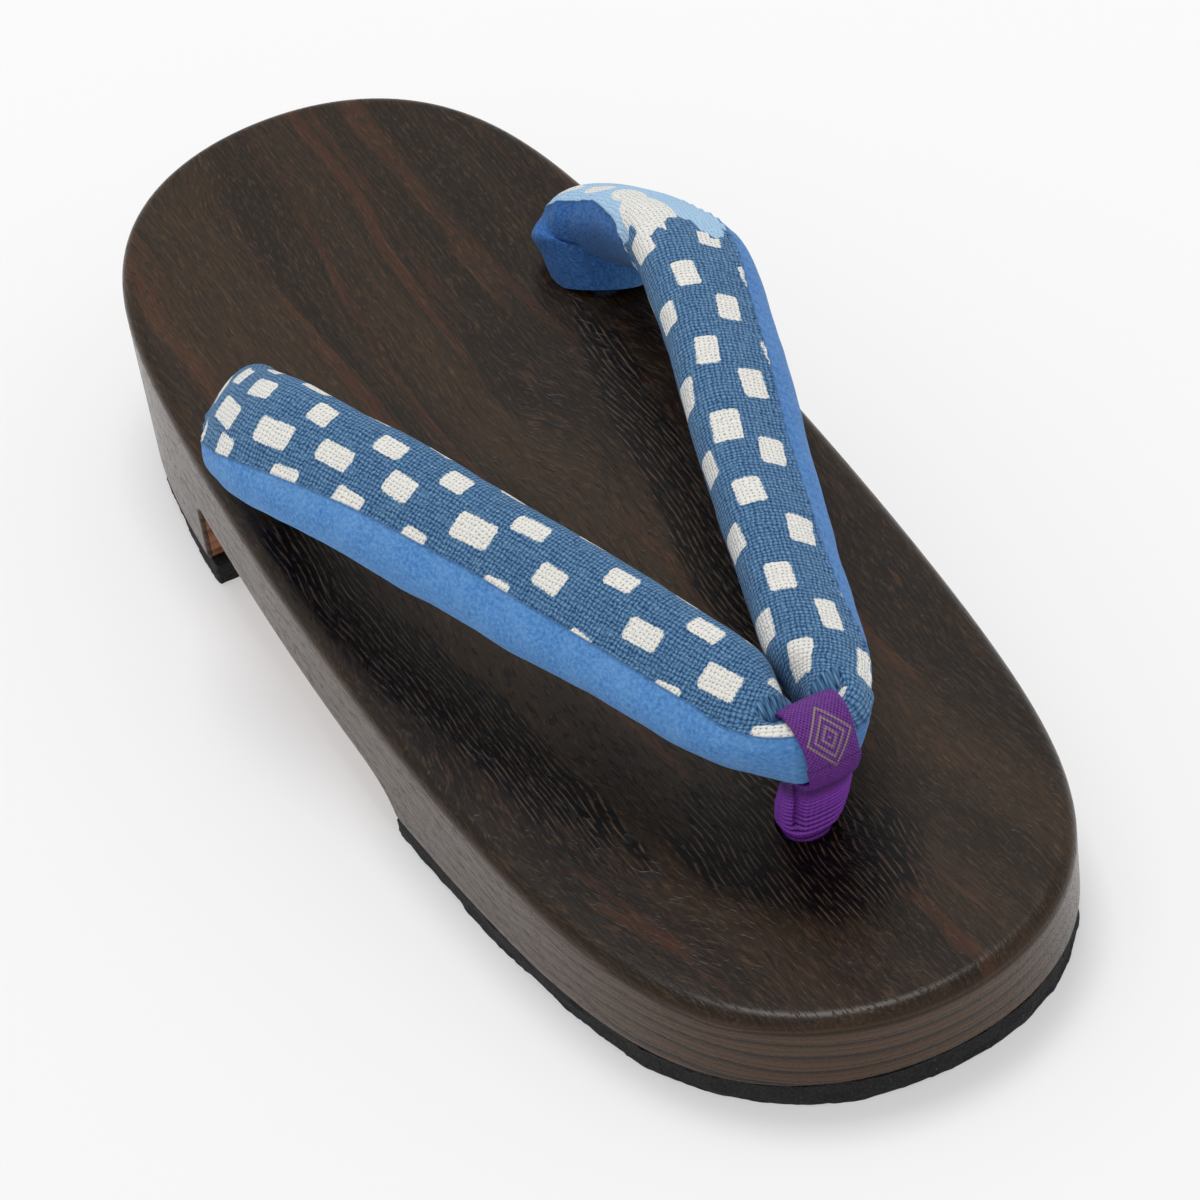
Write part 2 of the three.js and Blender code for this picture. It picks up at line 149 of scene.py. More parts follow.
# The ring's points round its loop and round its band; where it is narrower: depth, turn, spread.
LOOP_TURNS = 160
LOOP_CORNERS = 56
LOOP_SECTION = {"flat": 0.35, "thick": 0.6, "crown": 0.16, "lap": 0.14, "inset": 0.1}
LOOP_WAISTS = [(0.4, 10, 38), (0.8, 310, 34)]
POST_STEPS = 190
POST_AROUND = 96
POST_RADIUS = 4.6
POST_INSET = 0.25
POST_RIB = 0.14
POST_FOLD = {"x": 4.3, "lean": 0.05, "half_wide": 0.55, "depth": 1.9}

# Knot, shaft and tail of a cord: radius, sides, ridge height and twist.
CORD_TUBES = [(2.05, 18, 0.32, 1.5), (2.6, 24, 0.34, 0.9), (1.15, 14, 0.2, 2.0)]
CORD_STRANDS = 3
KNOT = {"size": 1.28, "rise": 1.75}

# Pitches of the cloth's threads, the post's ribs, the wood's growth lines and its rays.
WEAVE_PITCH = 0.76
RIB_PITCH = 1.1
GROWTH_PITCH = 3.0
RAY_PITCH = 0.92

# Heights on the post between which the painted shadow under the ring deepens.
POST_SHADE = (9.0, 14.0)

# Painted dark reflections of the strap and the toe loop on the glossy foot bed: middle x and y, half width,
# half length, lean to +X along +Y.
STRAP_REFLECTIONS = [(33.5, 26.0, 7.0, 44.0, -0.16), (38.5, -17.0, 5.2, 18.0, -0.06), (4.0, 80.0, 16.5, 20.0, -0.25),
          (-19.0, 0.0, 4.4, 48.0, 0.2), (-22.0, -24.0, 3.6, 28.0, 0.2)]

# The woven motif of nested diamonds; turn is how far round the ring its middle lies, in degrees.
BADGE = {"half_wide": 3.7, "half_high": 4.6, "rings": 3.0, "turn": 36.0}

# ---------- looks

# Screen colours, 0 to 255. A pair is what a pattern goes from and to.
STAINED = {"dark": (28, 20, 12), "brown": (51, 38, 25), "streak": (98, 72, 50), "wall": (77, 54, 36)}
BARE = {"dark": (104, 66, 46), "brown": (150, 98, 70), "streak": (176, 124, 92), "wall": (162, 110, 80)}
# Red and pore are the wood's own marks. The pair after them goes from the painted dark reflection of the
# strap and toe loop to the pale grain rays seen in it. The last colour is for painted highlight specks.
WOOD_MARKS_AND_PAINTED_LIGHT = {"red": (86, 50, 32), "pore": (14, 10, 8), "strap_reflection": ((9, 6, 4), (92, 72, 56)),
              "speck": (170, 150, 130)}
RUBBER = {"foam": ((17, 17, 18), (43, 43, 45)), "speck": (120, 120, 124)}
PRINT = {"denim": ((14, 42, 80), (82, 129, 172)), "cream": ((128, 130, 130), (240, 238, 231)),
         "sky": ((120, 168, 214), (178, 210, 236)), "pale_slub": (104, 146, 180), "dark_slub": (36, 74, 118),
         "lint": (126, 162, 192), "glint": (150, 184, 208)}
# The velvet's first pair is its lit blue; the second pair is painted shade, a darker copy of the same
# velvet.
VELVET = {"light": ((64, 122, 190), (112, 168, 224)), "shaded_velvet": ((36, 82, 146), (74, 126, 192)),
          "mottle": (126, 178, 230), "fibre": (74, 132, 198), "stitch": (34, 66, 108)}
# The ribs pair runs from painted shade to painted highlight along the post's ribs; the last colour is the
# painted shadow under the ring.
RIBBON = {"mesh": ((50, 10, 78), (118, 42, 152)), "ribs": ((40, 8, 72), (146, 64, 194)),
          "lint": (130, 60, 172), "motif": ((104, 84, 96), (152, 132, 138)), "ring_shadow": (30, 6, 50)}
CORD_COLOURS = ((20, 28, 48), (66, 80, 112))
SHEEN = {"cotton": (190, 215, 245), "ribbon": (200, 150, 240)}

FLOOR = {"colour": (194, 194, 194), "glow": 0.41, "half": 3000.0, "drop": 0.02}
WORLD_STRENGTH = 0.62
KEY = {"place": (-100, -250, 1500), "size": 600, "power": 9.5}

# The camera looks at aim from a distance. compass is the way from +Y towards +X; roll turns the picture.
CAMERA = {"aim": (4.67, 17.99, 28.0), "distance": 1004.8, "compass": 21.287, "elevation": 40.0,
          "roll": 9.96, "lens": 188.0, "sensor": 36.0, "clip": (0.05, 20.0)}

# ---------- small helpers


def srgb(colour):
    """A colour given as 0 to 255 screen values, as the linear values that a shader socket takes."""
    values = []
    for value in colour:
        value /= 255
        values.append(value / 12.92 if value <= 0.04045 else ((value + 0.055) / 1.055) ** 2.4)
    return (*values, 1.0)


def lerp(a, b, share):
    return a + (b - a) * share


def smoothstep(low, high, value):
    share = np.clip((value - low) / (high - low), 0.0, 1.0)
    return share * share * (3 - 2 * share)


def soft_noise(rng, shape, spreads):
    """Smooth random values round 0, about 1 high, that join up at the ends; spreads are in grid steps."""
    values = rng.standard_normal(shape)
    for axis, (size, spread) in enumerate(zip(shape, spreads)):
        wave = np.fft.rfftfreq(size) * spread
        gain = np.exp(-0.5 * (2 * np.pi * wave) ** 2)
        gain = gain.reshape([-1 if each == axis else 1 for each in range(len(shape))])
        values = np.fft.irfft(np.fft.rfft(values, axis=axis) * gain, size, axis=axis)
    return values / (np.std(values) + 1e-9)


def travelled(*axes):
    """How far along a path each of its points lies, from the path's coordinates axis by axis."""
    steps = np.sqrt(sum(np.diff(axis) ** 2 for axis in axes))
    return np.concatenate([[0], np.cumsum(steps)])


def superellipse(turn, power):
    """Cosine and sine of turn, pushed out towards a rectangle when power is below 1."""
    c, s = np.cos(turn), np.sin(turn)
    return np.sign(c) * np.abs(c) ** power, np.sign(s) * np.abs(s) ** power


def bezier(knots, count):
    """Points on the Bezier curve of the knots, without its first."""
    points = []
    for share in np.linspace(0, 1, count)[1:]:
        row = np.array(knots, dtype=float)
        while len(row) > 1:
            row = lerp(row[:-1], row[1:], share)
        points.append(tuple(row[0]))
    return points


def make_object(name, points, faces, materials, sharp=None):
    """A mesh object from points in millimetres, smooth apart from edges sharper than sharp degrees."""
    mesh = bpy.data.meshes.new(name)
    mesh.from_pydata((np.asarray(points, dtype=float) * MM).tolist(), [], faces)
    for one in materials:
        mesh.materials.append(one)
    smooth(mesh, sharp)
    made = bpy.data.objects.new(name, mesh)
    bpy.context.scene.collection.objects.link(made)
    return made


def smooth(mesh, sharp=None):
    mesh.shade_smooth()
    if sharp is not None:
        mesh.set_sharp_from_angle(angle=math.radians(sharp))


def set_attribute(target, name, values):
    """Stores a number, or three in a row, at each point of the target's mesh."""
    kind, field = ("FLOAT_VECTOR", "vector") if np.ndim(values) == 2 else ("FLOAT", "value")
    layer = target.data.attributes.new(name, kind, "POINT")
    layer.data.foreach_set(field, np.asarray(values, dtype=np.float32).ravel())


def ring_faces(rings, around, start=0):
    """Quads between neighbouring rings of equally many points, each ring closed on itself."""
    faces = []
    for ring in range(rings - 1):
        for corner in range(around):
            after = (corner + 1) % around
            a = start + ring * around
            faces.append((a + corner, a + after, a + around + after, a + around + corner))
    return faces


def clean(target, weld=0.0):
    """Joins points closer than weld millimetres, and turns every face outwards."""
    work = bmesh.new()
    work.from_mesh(target.data)
    if weld:
        bmesh.ops.remove_doubles(work, verts=work.verts, dist=weld * MM)
        bmesh.ops.dissolve_degenerate(work, edges=work.edges, dist=weld * MM)
    bmesh.ops.recalc_face_normals(work, faces=work.faces)
    work.to_mesh(target.data)
    work.free()


def tube(path, radius, sides, ridges=0, ridge_height=0.0, twist=0.0):
    """Points and faces of a closed-ended tube along a path, with raised strands that wind round it."""
    path = np.asarray(path, dtype=float)
    along = np.gradient(path, axis=0)
    along /= np.linalg.norm(along, axis=1)[:, None]
    side = np.cross(along[0], (0.31, 0.87, 0.38))
    side /= np.linalg.norm(side)
    length = travelled(*path.T)
    points = []
    for at, (centre, way) in enumerate(zip(path, along)):
        side = side - way * np.dot(side, way)
        side /= np.linalg.norm(side)
        up = np.cross(way, side)
        turn = np.linspace(0, 2 * np.pi, sides, endpoint=False)
        wave = ridge_height * (np.abs(np.cos(0.5 * ridges * turn + twist * length[at])) - 0.6)
        size = (radius + wave)[:, None]
        points.append(centre + size * (np.cos(turn)[:, None] * side + np.sin(turn)[:, None] * up))
    points = np.concatenate(points)
    faces = ring_faces(len(path), sides)
    first = len(points)
    points = np.vstack([points, path[0], path[-1]])
    last_ring = (len(path) - 1) * sides
    for corner in range(sides):
        after = (corner + 1) % sides
        faces.append((first, after, corner))
        faces.append((first + 1, last_ring + corner, last_ring + after))
    return points, faces


# ---------- shader trees


class Tree:
    """A short way to write a material's node tree."""

    def __init__(self, name):
        self.material = bpy.data.materials.new(name)
        self.material.use_nodes = True
        self.nodes = self.material.node_tree.nodes
        self.links = self.material.node_tree.links
        self.nodes.clear()

    def node(self, kind, inputs=None, **settings):
        made = self.nodes.new("ShaderNode" + kind)
        for name, value in settings.items():
            setattr(made, name, value)
        for name, value in (inputs or {}).items():
            self.feed(made.inputs[name], value)
        return made

    def feed(self, socket, value):
        if isinstance(value, bpy.types.NodeSocket):
            self.links.new(value, socket)
        else:
            socket.default_value = value

    def math(self, operation, a, b=0.0, c=0.0, clamp=False):
        made = self.node("Math", {0: a, 1: b, 2: c}, operation=operation, use_clamp=clamp)
        return made.outputs[0]

    plus = partialmethod(math, "ADD")
    minus = partialmethod(math, "SUBTRACT")
    times = partialmethod(math, "MULTIPLY")
    times_plus = partialmethod(math, "MULTIPLY_ADD")
    power = partialmethod(math, "POWER")
    most = partialmethod(math, "MAXIMUM")
    sine = partialmethod(math, "SINE")
    fract = partialmethod(math, "FRACT")
    size = partialmethod(math, "ABSOLUTE")

    def vector(self, operation, a, b=(0.0, 0.0, 0.0)):
        made = self.node("VectorMath", {0: a, 1: b}, operation=operation)
        return made.outputs["Value" if operation in ("LENGTH", "DOT_PRODUCT") else 0]

    def split(self, vector):
        made = self.node("SeparateXYZ", {0: vector})
        return made.outputs[0], made.outputs[1], made.outputs[2]

    def join(self, x, y, z):
        return self.node("CombineXYZ", {0: x, 1: y, 2: z}).outputs[0]

    def mix(self, share, a, b):
        """A colour between a and b, each a socket or a screen colour."""
        a, b = (srgb(each) if isinstance(each, tuple) else each for each in (a, b))
        return self.node("Mix", {0: share, 6: a, 7: b}, data_type="RGBA").outputs[2]

    def tint(self, colour, over, share, strength):
        """Mixes over into colour, by share times strength."""
        return self.mix(self.times(share, strength), colour, over)

    def layers(self, colour, rows):
        """Tints colour with each row's own colour, as its value goes from low to high, by its strength."""
        for over, value, low, high, strength in rows:
            colour = self.tint(colour, over, self.span(value, low, high), strength)
        return colour

    def dip(self, value, low, high):
        """1 below low, easing to 0 above high."""
        return self.span(value, low, high, 1.0, 0.0)

    def ridge(self, value, rise, fall):
        """0, then 1 after the pair of values in rise, then 0 again after the pair in fall."""
        return self.times(self.span(value, *rise), self.dip(value, *fall))

    def blend(self, share, a, b):
        """A plain number between a and b."""
        return self.node("Mix", {0: share, 2: a, 3: b}, data_type="FLOAT").outputs[0]

    def span(self, value, low, high, to_low=0.0, to_high=1.0):
        """Eases from to_low to to_high as value goes from low to high."""
        limits = {0: value, 1: low, 2: high, 3: to_low, 4: to_high}
        return self.node("MapRange", limits, interpolation_type="SMOOTHSTEP").outputs[0]

    def noise(self, vector, scale, detail, roughness):
        """Soft noise from 0 to 1; scale is how many lumps fit in a unit of vector."""
        inputs = {"Vector": vector, "Scale": scale, "Detail": detail, "Roughness": roughness}
        return self.node("TexNoise", inputs).outputs[0]

    def cells(self, vector, scale):
        """How far the nearest cell's centre is."""
        return self.node("TexVoronoi", {"Vector": vector, "Scale": scale}).outputs[0]

    def object_mm(self):
        place = self.node("TexCoord").outputs["Object"]
        return self.vector("MULTIPLY", place, (1 / MM, 1 / MM, 1 / MM))

    def value(self, name, output="Fac"):
        return self.node("Attribute", attribute_name=name).outputs[output]

    def bump(self, height, distance, strength=1.0, normal=None):
        """distance is the height's full depth in millimetres."""
        inputs = {"Strength": strength, "Distance": distance * MM, "Height": height}
        if normal is not None:
            inputs["Normal"] = normal
        return self.node("Bump", inputs).outputs[0]

    def surface(self, colour, roughness, normal=None, **constants):
        inputs = {"Base Color": colour, "Roughness": roughness}
        if normal is not None:
            inputs["Normal"] = normal
        for name, value in constants.items():
            inputs[name.replace("_", " ").title().replace("Ior", "IOR")] = value
        shader = self.node("BsdfPrincipled", inputs)
        self.node("OutputMaterial", {0: shader.outputs[0]})
        return self.material


def strap_reflection_mask(tree, x, y, ragged):
    """1 inside the painted dark reflections of the strap and the toe loop on the foot bed and 0 outside,
    with ragged ends.
    """
    mask = 0.0
    for middle_x, middle_y, half_wide, half_long, lean in STRAP_REFLECTIONS:
        along = tree.minus(y, middle_y)
        across = tree.times_plus(along, -lean, tree.minus(x, middle_x))
        spot = tree.join(tree.times(across, 1 / half_wide), tree.times(along, 1 / half_long), 0.0)
        reach = tree.times_plus(ragged, 1.3, tree.vector("LENGTH", spot))
        mask = tree.most(mask, tree.span(reach, 1.72, 1.45))
    return mask


def wood_material(name, look, shine):
    """Stained wood: streaks and pores, painted dark reflections of the strap and the toe loop on the foot
    bed, painted highlight specks, growth lines on the walls.
    """
    tree = Tree(name)
    dark, streak = look["dark"], look["streak"]
    place = tree.object_mm()
    x, y, z = tree.split(place)
    sway = tree.noise(tree.vector("MULTIPLY", place, (0.011, 0.006, 0.02)), 1.0, 2.0, 0.5)
    sway_two = tree.noise(tree.vector("MULTIPLY", place, (0.05, 0.017, 0.05)), 1.0, 3.0, 0.55)
    shift = tree.times_plus(sway, 56.0, -28.0)
    shift = tree.plus(shift, tree.times_plus(sway_two, 9.0, -4.5))
    grain_x = tree.plus(x, shift)
    grain_z = tree.plus(z, tree.times_plus(y, 0.16, 70.0))

    lined = tree.join(grain_x, tree.times(y, 0.03), grain_z)
    streaks = tree.noise(lined, 1.5, 5.0, 0.65)
    fine = tree.noise(tree.join(grain_x, tree.times(y, 0.09), z), 3.0, 3.0, 0.6)
    broad = tree.noise(lined, 0.06, 2.0, 0.5)
    reds = tree.noise(lined, 0.13, 3.0, 0.55)
    pores = tree.noise(tree.join(grain_x, tree.times(y, 0.16), grain_z), 1.9, 1.0, 0.5)

    colour = tree.mix(tree.span(broad, 0.4, 0.62), dark, look["brown"])
    colour = tree.layers(colour, [
        (streak, streaks, 0.54, 0.74, 0.4),
        (dark, streaks, 0.46, 0.3, 0.6),
        (WOOD_MARKS_AND_PAINTED_LIGHT["red"], reds, 0.56, 0.66, 0.4),
        (streak, fine, 0.54, 0.68, 0.4),
        (WOOD_MARKS_AND_PAINTED_LIGHT["pore"], pores, 0.57, 0.67, 0.6),
    ])

    # Painted reflection: the strap and the toe loop show as dark patches on the foot bed, with the grain's
    # pale rays in them.
    ragged = tree.noise(tree.join(tree.times(x, 0.22), tree.times(y, 0.05), 0.0), 1.0, 4.0, 0.7)
    strap_reflection = strap_reflection_mask(tree, x, y, ragged)
    wander = tree.noise(tree.vector("MULTIPLY", place, (0.05, 0.022, 0.05)), 1.0, 2.0, 0.5)
    jitter = tree.noise(tree.vector("MULTIPLY", place, (0.6, 0.09, 0.6)), 1.0, 2.0, 0.5)
    ray_x = tree.times_plus(wander, 9.0, tree.times_plus(jitter, 0.9, x))
    ray = tree.fract(tree.times(ray_x, 1 / RAY_PITCH))
    ray = tree.ridge(ray, (0.3, 0.5), (0.55, 0.75))
    broken = tree.noise(tree.join(x, tree.times(y, 0.22), 0.0), 1.3, 2.0, 0.6)
    ray = tree.times(ray, tree.span(broken, 0.38, 0.6))
    deep = tree.tint(*WOOD_MARKS_AND_PAINTED_LIGHT["strap_reflection"], ray, 0.85)
    colour = tree.tint(colour, deep, strap_reflection, 0.94)
    colour = tree.tint(colour, streak, ray, 0.16)

    share = tree.times(y, 1 / HALF_LENGTH)
    bed = tree.times_plus(share, DECK["slope"], DECK["middle"])
    bed = tree.plus(bed, tree.times(tree.times(share, share), DECK["hollow"]))
    on_wall = tree.span(tree.minus(bed, z), 0.4, 3.0)
    wave = tree.noise(tree.join(0.0, tree.times(y, 0.028), tree.times(z, 0.06)), 1.0, 2.0, 0.5)
    level = tree.plus(tree.times_plus(wave, 9.0, z), tree.times(y, 0.045))
    phase = tree.fract(tree.times(level, 1 / GROWTH_PITCH))
    late = tree.ridge(phase, (0.5, 0.9), (0.92, 1.0))
    second = tree.fract(tree.times(level, 2.7 / GROWTH_PITCH))
    faint = tree.ridge(second, (0.4, 0.9), (0.9, 1.0))
    lines = tree.most(late, tree.times(faint, 0.5))
    side = tree.tint(look["wall"], dark, lines, 0.95)
    scratch = tree.noise(tree.join(x, tree.times(y, 0.07), z), 2.6, 4.0, 0.65)
    side = tree.layers(side, [(streak, scratch, 0.5, 0.75, 0.35), (dark, scratch, 0.45, 0.28, 0.4)])
    colour = tree.mix(on_wall, colour, side)

    # Painted highlight: small pale specks stand in for glints on the glossy wood.
    speck = tree.span(tree.cells(place, 0.42), 0.045, 0.025)
    speck = tree.times(speck, tree.span(tree.noise(place, 0.9, 1.0, 0.5), 0.6, 0.68))
    colour = tree.tint(colour, WOOD_MARKS_AND_PAINTED_LIGHT["speck"], speck, 0.45)

    height = tree.times_plus(streaks, 0.4, tree.times(fine, 0.3))
    pore = tree.span(pores, 0.57, 0.67)
    height = tree.minus(height, tree.times(pore, 0.4))
    height = tree.minus(height, tree.times(tree.times(lines, on_wall), 0.4))
    rough = tree.times_plus(streaks, 0.16, shine)
    rough = tree.times_plus(pore, 0.15, rough)
    rough = tree.times_plus(on_wall, -0.05, rough)
    return tree.surface(colour, rough, tree.bump(height, 0.2, 0.5), specular_ior_level=0.25)


def rubber_material():
    """Black foam rubber with tiny pores and pale specks."""
    tree = Tree("foam_rubber")
    place = tree.object_mm()
    grain = tree.noise(place, 2.2, 4.0, 0.65)
    pores = tree.cells(place, 1.35)
    colour = tree.mix(tree.span(grain, 0.3, 0.75), *RUBBER["foam"])
    speck = tree.span(tree.cells(place, 0.75), 0.13, 0.07)
    speck = tree.times(speck, tree.span(grain, 0.5, 0.6))
    colour = tree.tint(colour, RUBBER["speck"], speck, 0.5)
    height = tree.times_plus(pores, 0.7, tree.times(grain, 0.8))
    return tree.surface(colour, 0.82, tree.bump(height, 0.35, 0.8), specular_ior_level=0.35)


def weave_height(tree, u, v, pitch):
    """Plain weave, 0 in the holes to 1 on top of a thread; u and v are in millimetres."""
    wave_u = tree.sine(tree.times(u, math.pi / pitch))
    wave_v = tree.sine(tree.times(v, math.pi / pitch))
    crown_u = tree.size(wave_u)
    crown_v = tree.size(wave_v)
    both = tree.times(wave_u, wave_v)
    warp_up = tree.times_plus(both, 0.5, 0.6)
    weft_up = tree.times_plus(both, -0.5, 0.6)
    warp = tree.times(tree.power(crown_v, 0.6), warp_up)
    weft = tree.times(tree.power(crown_u, 0.6), weft_up)
    return tree.most(warp, weft)


def strap_material():
    """Printed cotton and velvet, told apart by how far a point lies from the seam."""
    tree = Tree("printed_cotton_and_velvet")
    cloth = tree.value("cloth_mm", "Vector")
    u, v, _ = tree.split(cloth)
    seam = tree.value("seam_mm")
    dot = tree.value("dot_mm")
    pale = tree.value("pale_mm")
    shade = tree.value("shade")

    pull = tree.noise(cloth, 0.3, 2.0, 0.5)
    thread_u = tree.times_plus(pull, 1.1, u)
    thread_v = tree.times_plus(pull, -1.0, v)
    wobble = tree.noise(cloth, 1.1, 2.0, 0.6)
    thread_u = tree.times_plus(wobble, 0.8, thread_u)
    thread_v = tree.times_plus(wobble, 0.8, thread_v)
    weave = weave_height(tree, thread_u, thread_v, WEAVE_PITCH)
    lint = tree.noise(cloth, 2.1, 3.0, 0.6)
    slub_u = tree.noise(tree.join(tree.times(u, 0.14), v, 0.0), 1.5, 2.0, 0.6)
    slub_v = tree.noise(tree.join(u, tree.times(v, 0.14), 3.0), 1.5, 2.0, 0.6)

    denim = tree.mix(tree.span(weave, 0.2, 0.9), *PRINT["denim"])
    denim = tree.layers(denim, [
        (PRINT["pale_slub"], slub_u, 0.5, 0.75, 0.5),
        (PRINT["dark_slub"], slub_v, 0.5, 0.75, 0.45),
        (PRINT["lint"], lint, 0.5, 0.8, 0.3),
    ])
    glint = tree.times(tree.span(weave, 0.78, 1.05), tree.span(lint, 0.4, 0.6))
    denim = tree.tint(denim, PRINT["glint"], glint, 0.45)
    cream = tree.mix(tree.span(weave, 0.12, 0.58), *PRINT["cream"])
    sky = tree.mix(tree.span(weave, 0.1, 0.7), *PRINT["sky"])
    ragged = tree.times_plus(tree.noise(cloth, 1.5, 2.0, 0.6), 0.8, -0.4)
    printed = tree.mix(tree.span(tree.plus(pale, ragged), -0.15, 0.15), denim, sky)
    printed = tree.mix(tree.span(tree.plus(dot, ragged), -0.12, 0.12), printed, cream)

    nap = tree.noise(cloth, 1.5, 4.0, 0.7)
    mottle = tree.noise(cloth, 0.2, 3.0, 0.6)
    fibre = tree.noise(tree.join(tree.times(u, 0.45), tree.times(v, 1.5), 0.0), 2.2, 3.0, 0.65)
    light = tree.mix(tree.span(nap, 0.3, 0.72), *VELVET["light"])
    light = tree.layers(light, [(VELVET["mottle"], mottle, 0.4, 0.7, 0.35),
                                (VELVET["fibre"], fibre, 0.45, 0.7, 0.35)])
    # Painted shade: a darker copy of the velvet, mixed in as far as the shade value says.
    shaded_velvet = tree.mix(tree.span(nap, 0.3, 0.72), *VELVET["shaded_velvet"])
    velvet = tree.mix(shade, light, shaded_velvet)

    in_print = tree.span(seam, -0.1, 0.1)
    colour = tree.mix(in_print, velvet, printed)
    stitched = tree.dip(tree.size(tree.plus(seam, 0.12)), 0.05, 0.42)
    colour = tree.tint(colour, VELVET["stitch"], stitched, 0.42)

    weave_low = tree.times_plus(lint, 0.3, weave)
    nap_low = tree.times_plus(fibre, 0.6, nap)
    height = tree.blend(in_print, nap_low, weave_low)
    normal = tree.bump(height, 0.23, 0.85)
    return tree.surface(colour, 0.92, normal, sheen_weight=0.25, sheen_roughness=0.45,
                        sheen_tint=srgb(SHEEN["cotton"]), specular_ior_level=0.2)


def ribbon_material():
    """Purple ribbed ribbon; on the loop a fine mesh weave and a plain woven motif of nested diamonds; on the
    post painted highlight and shade along the ribs, and a painted shadow under the ring.
    """
    tree = Tree("purple_ribbon")
    cloth = tree.value("cloth_mm", "Vector")
    u, v, _ = tree.split(cloth)
    on_loop = tree.value("on_loop")
    badge = tree.value("badge_mm", "Vector")
    badge_x, badge_y, badge_on = tree.split(badge)

    twill = tree.sine(tree.times(tree.plus(u, tree.times(v, 0.8)), 9.5))
    cross = tree.sine(tree.times(tree.minus(u, v), 10.5))
    twill = tree.times_plus(cross, 0.6, tree.times(twill, 0.6))
    ribs = tree.sine(tree.times(v, 2 * math.pi / RIB_PITCH))
    knots = tree.sine(tree.times(u, 9.0))
    ribs = tree.times_plus(knots, 0.3, ribs)
    pattern = tree.blend(on_loop, ribs, twill)
    lint = tree.noise(cloth, 1.2, 3.0, 0.6)

    purple = tree.mix(tree.span(pattern, -1.0, 1.1), *RIBBON["mesh"])
    # Painted highlight and shade: the rib stripes are coloured lighter and darker than their relief alone
    # would show.
    ribbed = tree.mix(tree.span(ribs, -0.7, 0.9), *RIBBON["ribs"])
    purple = tree.mix(on_loop, ribbed, purple)
    purple = tree.tint(purple, RIBBON["lint"], tree.span(lint, 0.4, 0.7), 0.3)
    away_x = tree.times(tree.size(badge_x), 1 / BADGE["half_wide"])
    away_y = tree.times(tree.size(badge_y), 1 / BADGE["half_high"])
    out = tree.plus(away_x, away_y)
    phase = tree.fract(tree.times_plus(out, BADGE["rings"], 0.5))
    line = tree.dip(tree.size(tree.minus(phase, 0.5)), 0.16, 0.28)
    line = tree.times(line, tree.dip(out, 1.05, 1.1))
    taupe = tree.times(line, badge_on, clamp=True)
    thread = tree.mix(tree.span(pattern, -1.0, 1.0), *RIBBON["motif"])
    colour = tree.mix(taupe, purple, thread)
    # Painted shadow: the post's top, under the ring, is darkened.
    on_post = tree.minus(1.0, on_loop)
    ring_shadow = tree.times(tree.span(v, *POST_SHADE), on_post)
    colour = tree.tint(colour, RIBBON["ring_shadow"], ring_shadow, 0.75)
    height = tree.times_plus(pattern, 0.6, tree.times(taupe, 1.2))
    normal = tree.bump(height, 0.12, 0.8)
    return tree.surface(colour, 0.55, normal, sheen_weight=0.12, sheen_roughness=0.4,
                        sheen_tint=srgb(SHEEN["ribbon"]), specular_ior_level=0.35)


def cord_material():
    tree = Tree("twisted_cord")
    lint = tree.noise(tree.object_mm(), 1.6, 4.0, 0.65)
    colour = tree.mix(tree.span(lint, 0.3, 0.7), *CORD_COLOURS)
    return tree.surface(colour, 0.9, tree.bump(lint, 0.2, 0.7), sheen_weight=0.2, specular_ior_level=0.2)


def floor_material():
    tree = Tree("pale_floor")
    return tree.surface(srgb(FLOOR["colour"]), 0.9, None, specular_ior_level=0.1,
                        emission_color=(1.0, 1.0, 1.0, 1.0), emission_strength=FLOOR["glow"])


# ---------- the base's own shape


def deck_height(y):
    u = y / HALF_LENGTH
    return DECK["middle"] + DECK["slope"] * u + DECK["hollow"] * u * u


def rim_half_width(y):
    u = np.clip(y / HALF_LENGTH, -1, 1)
    end = np.where(u < 0, OUTLINE["heel_end"], OUTLINE["toe_end"])
    side = OUTLINE["middle"] + OUTLINE["taper"] * u + OUTLINE["bulge"] * u * u
    return side * np.maximum(1 - np.abs(u) ** end, 0) ** (1 / OUTLINE["corner"])


class Rim:
    """The +X half of the top rim, from the heel's middle to the toe's, by its arc length."""

    def __init__(self):
        turn = np.linspace(0, np.pi, RIM_SAMPLES)
        y = -HALF_LENGTH * np.cos(turn)
        x = rim_half_width(y)
        length = travelled(x, y)
        self.total = length[-1]
        self.at = np.linspace(0, self.total, RIM_POINTS)
        self.x = np.interp(self.at, length, x)
        self.y = np.interp(self.at, length, y)
        reach = 4
        along = []
        for axis, mirror in ((self.x, -1), (self.y, 1)):
            wide = np.concatenate([mirror * axis[reach:0:-1], axis, mirror * axis[-2:-2 - reach:-1]])
            along.append(wide[2 * reach:] - wide[:-2 * reach])
        along_x, along_y = along
        size = np.hypot(along_x, along_y)
        self.out_x = along_y / size
        self.out_y = -along_x / size

    def arc_at(self, y):
        return np.interp(y, self.y, self.at)

    def wall(self, arc, height, inset=0.0):
        """Points on the side wall at arc lengths and heights, stepped in by inset."""
        axes = (self.x, self.y, self.out_x, self.out_y)
        x, y, out_x, out_y = (np.interp(arc, self.at, axis) for axis in axes)
        top = deck_height(y) - RIM_RADIUS["drop"]
        tuck = lerp(WALL_TUCK["side"], WALL_TUCK["end"], out_y ** 2)
        step = tuck * np.clip(1 - height / top, 0, 1) + inset
        return np.stack([x - out_x * step, y - out_y * step, height + 0 * x], axis=-1)


RIM = Rim()


def arch_ceiling(y):
    return deck_height(y) - ARCH["board"]


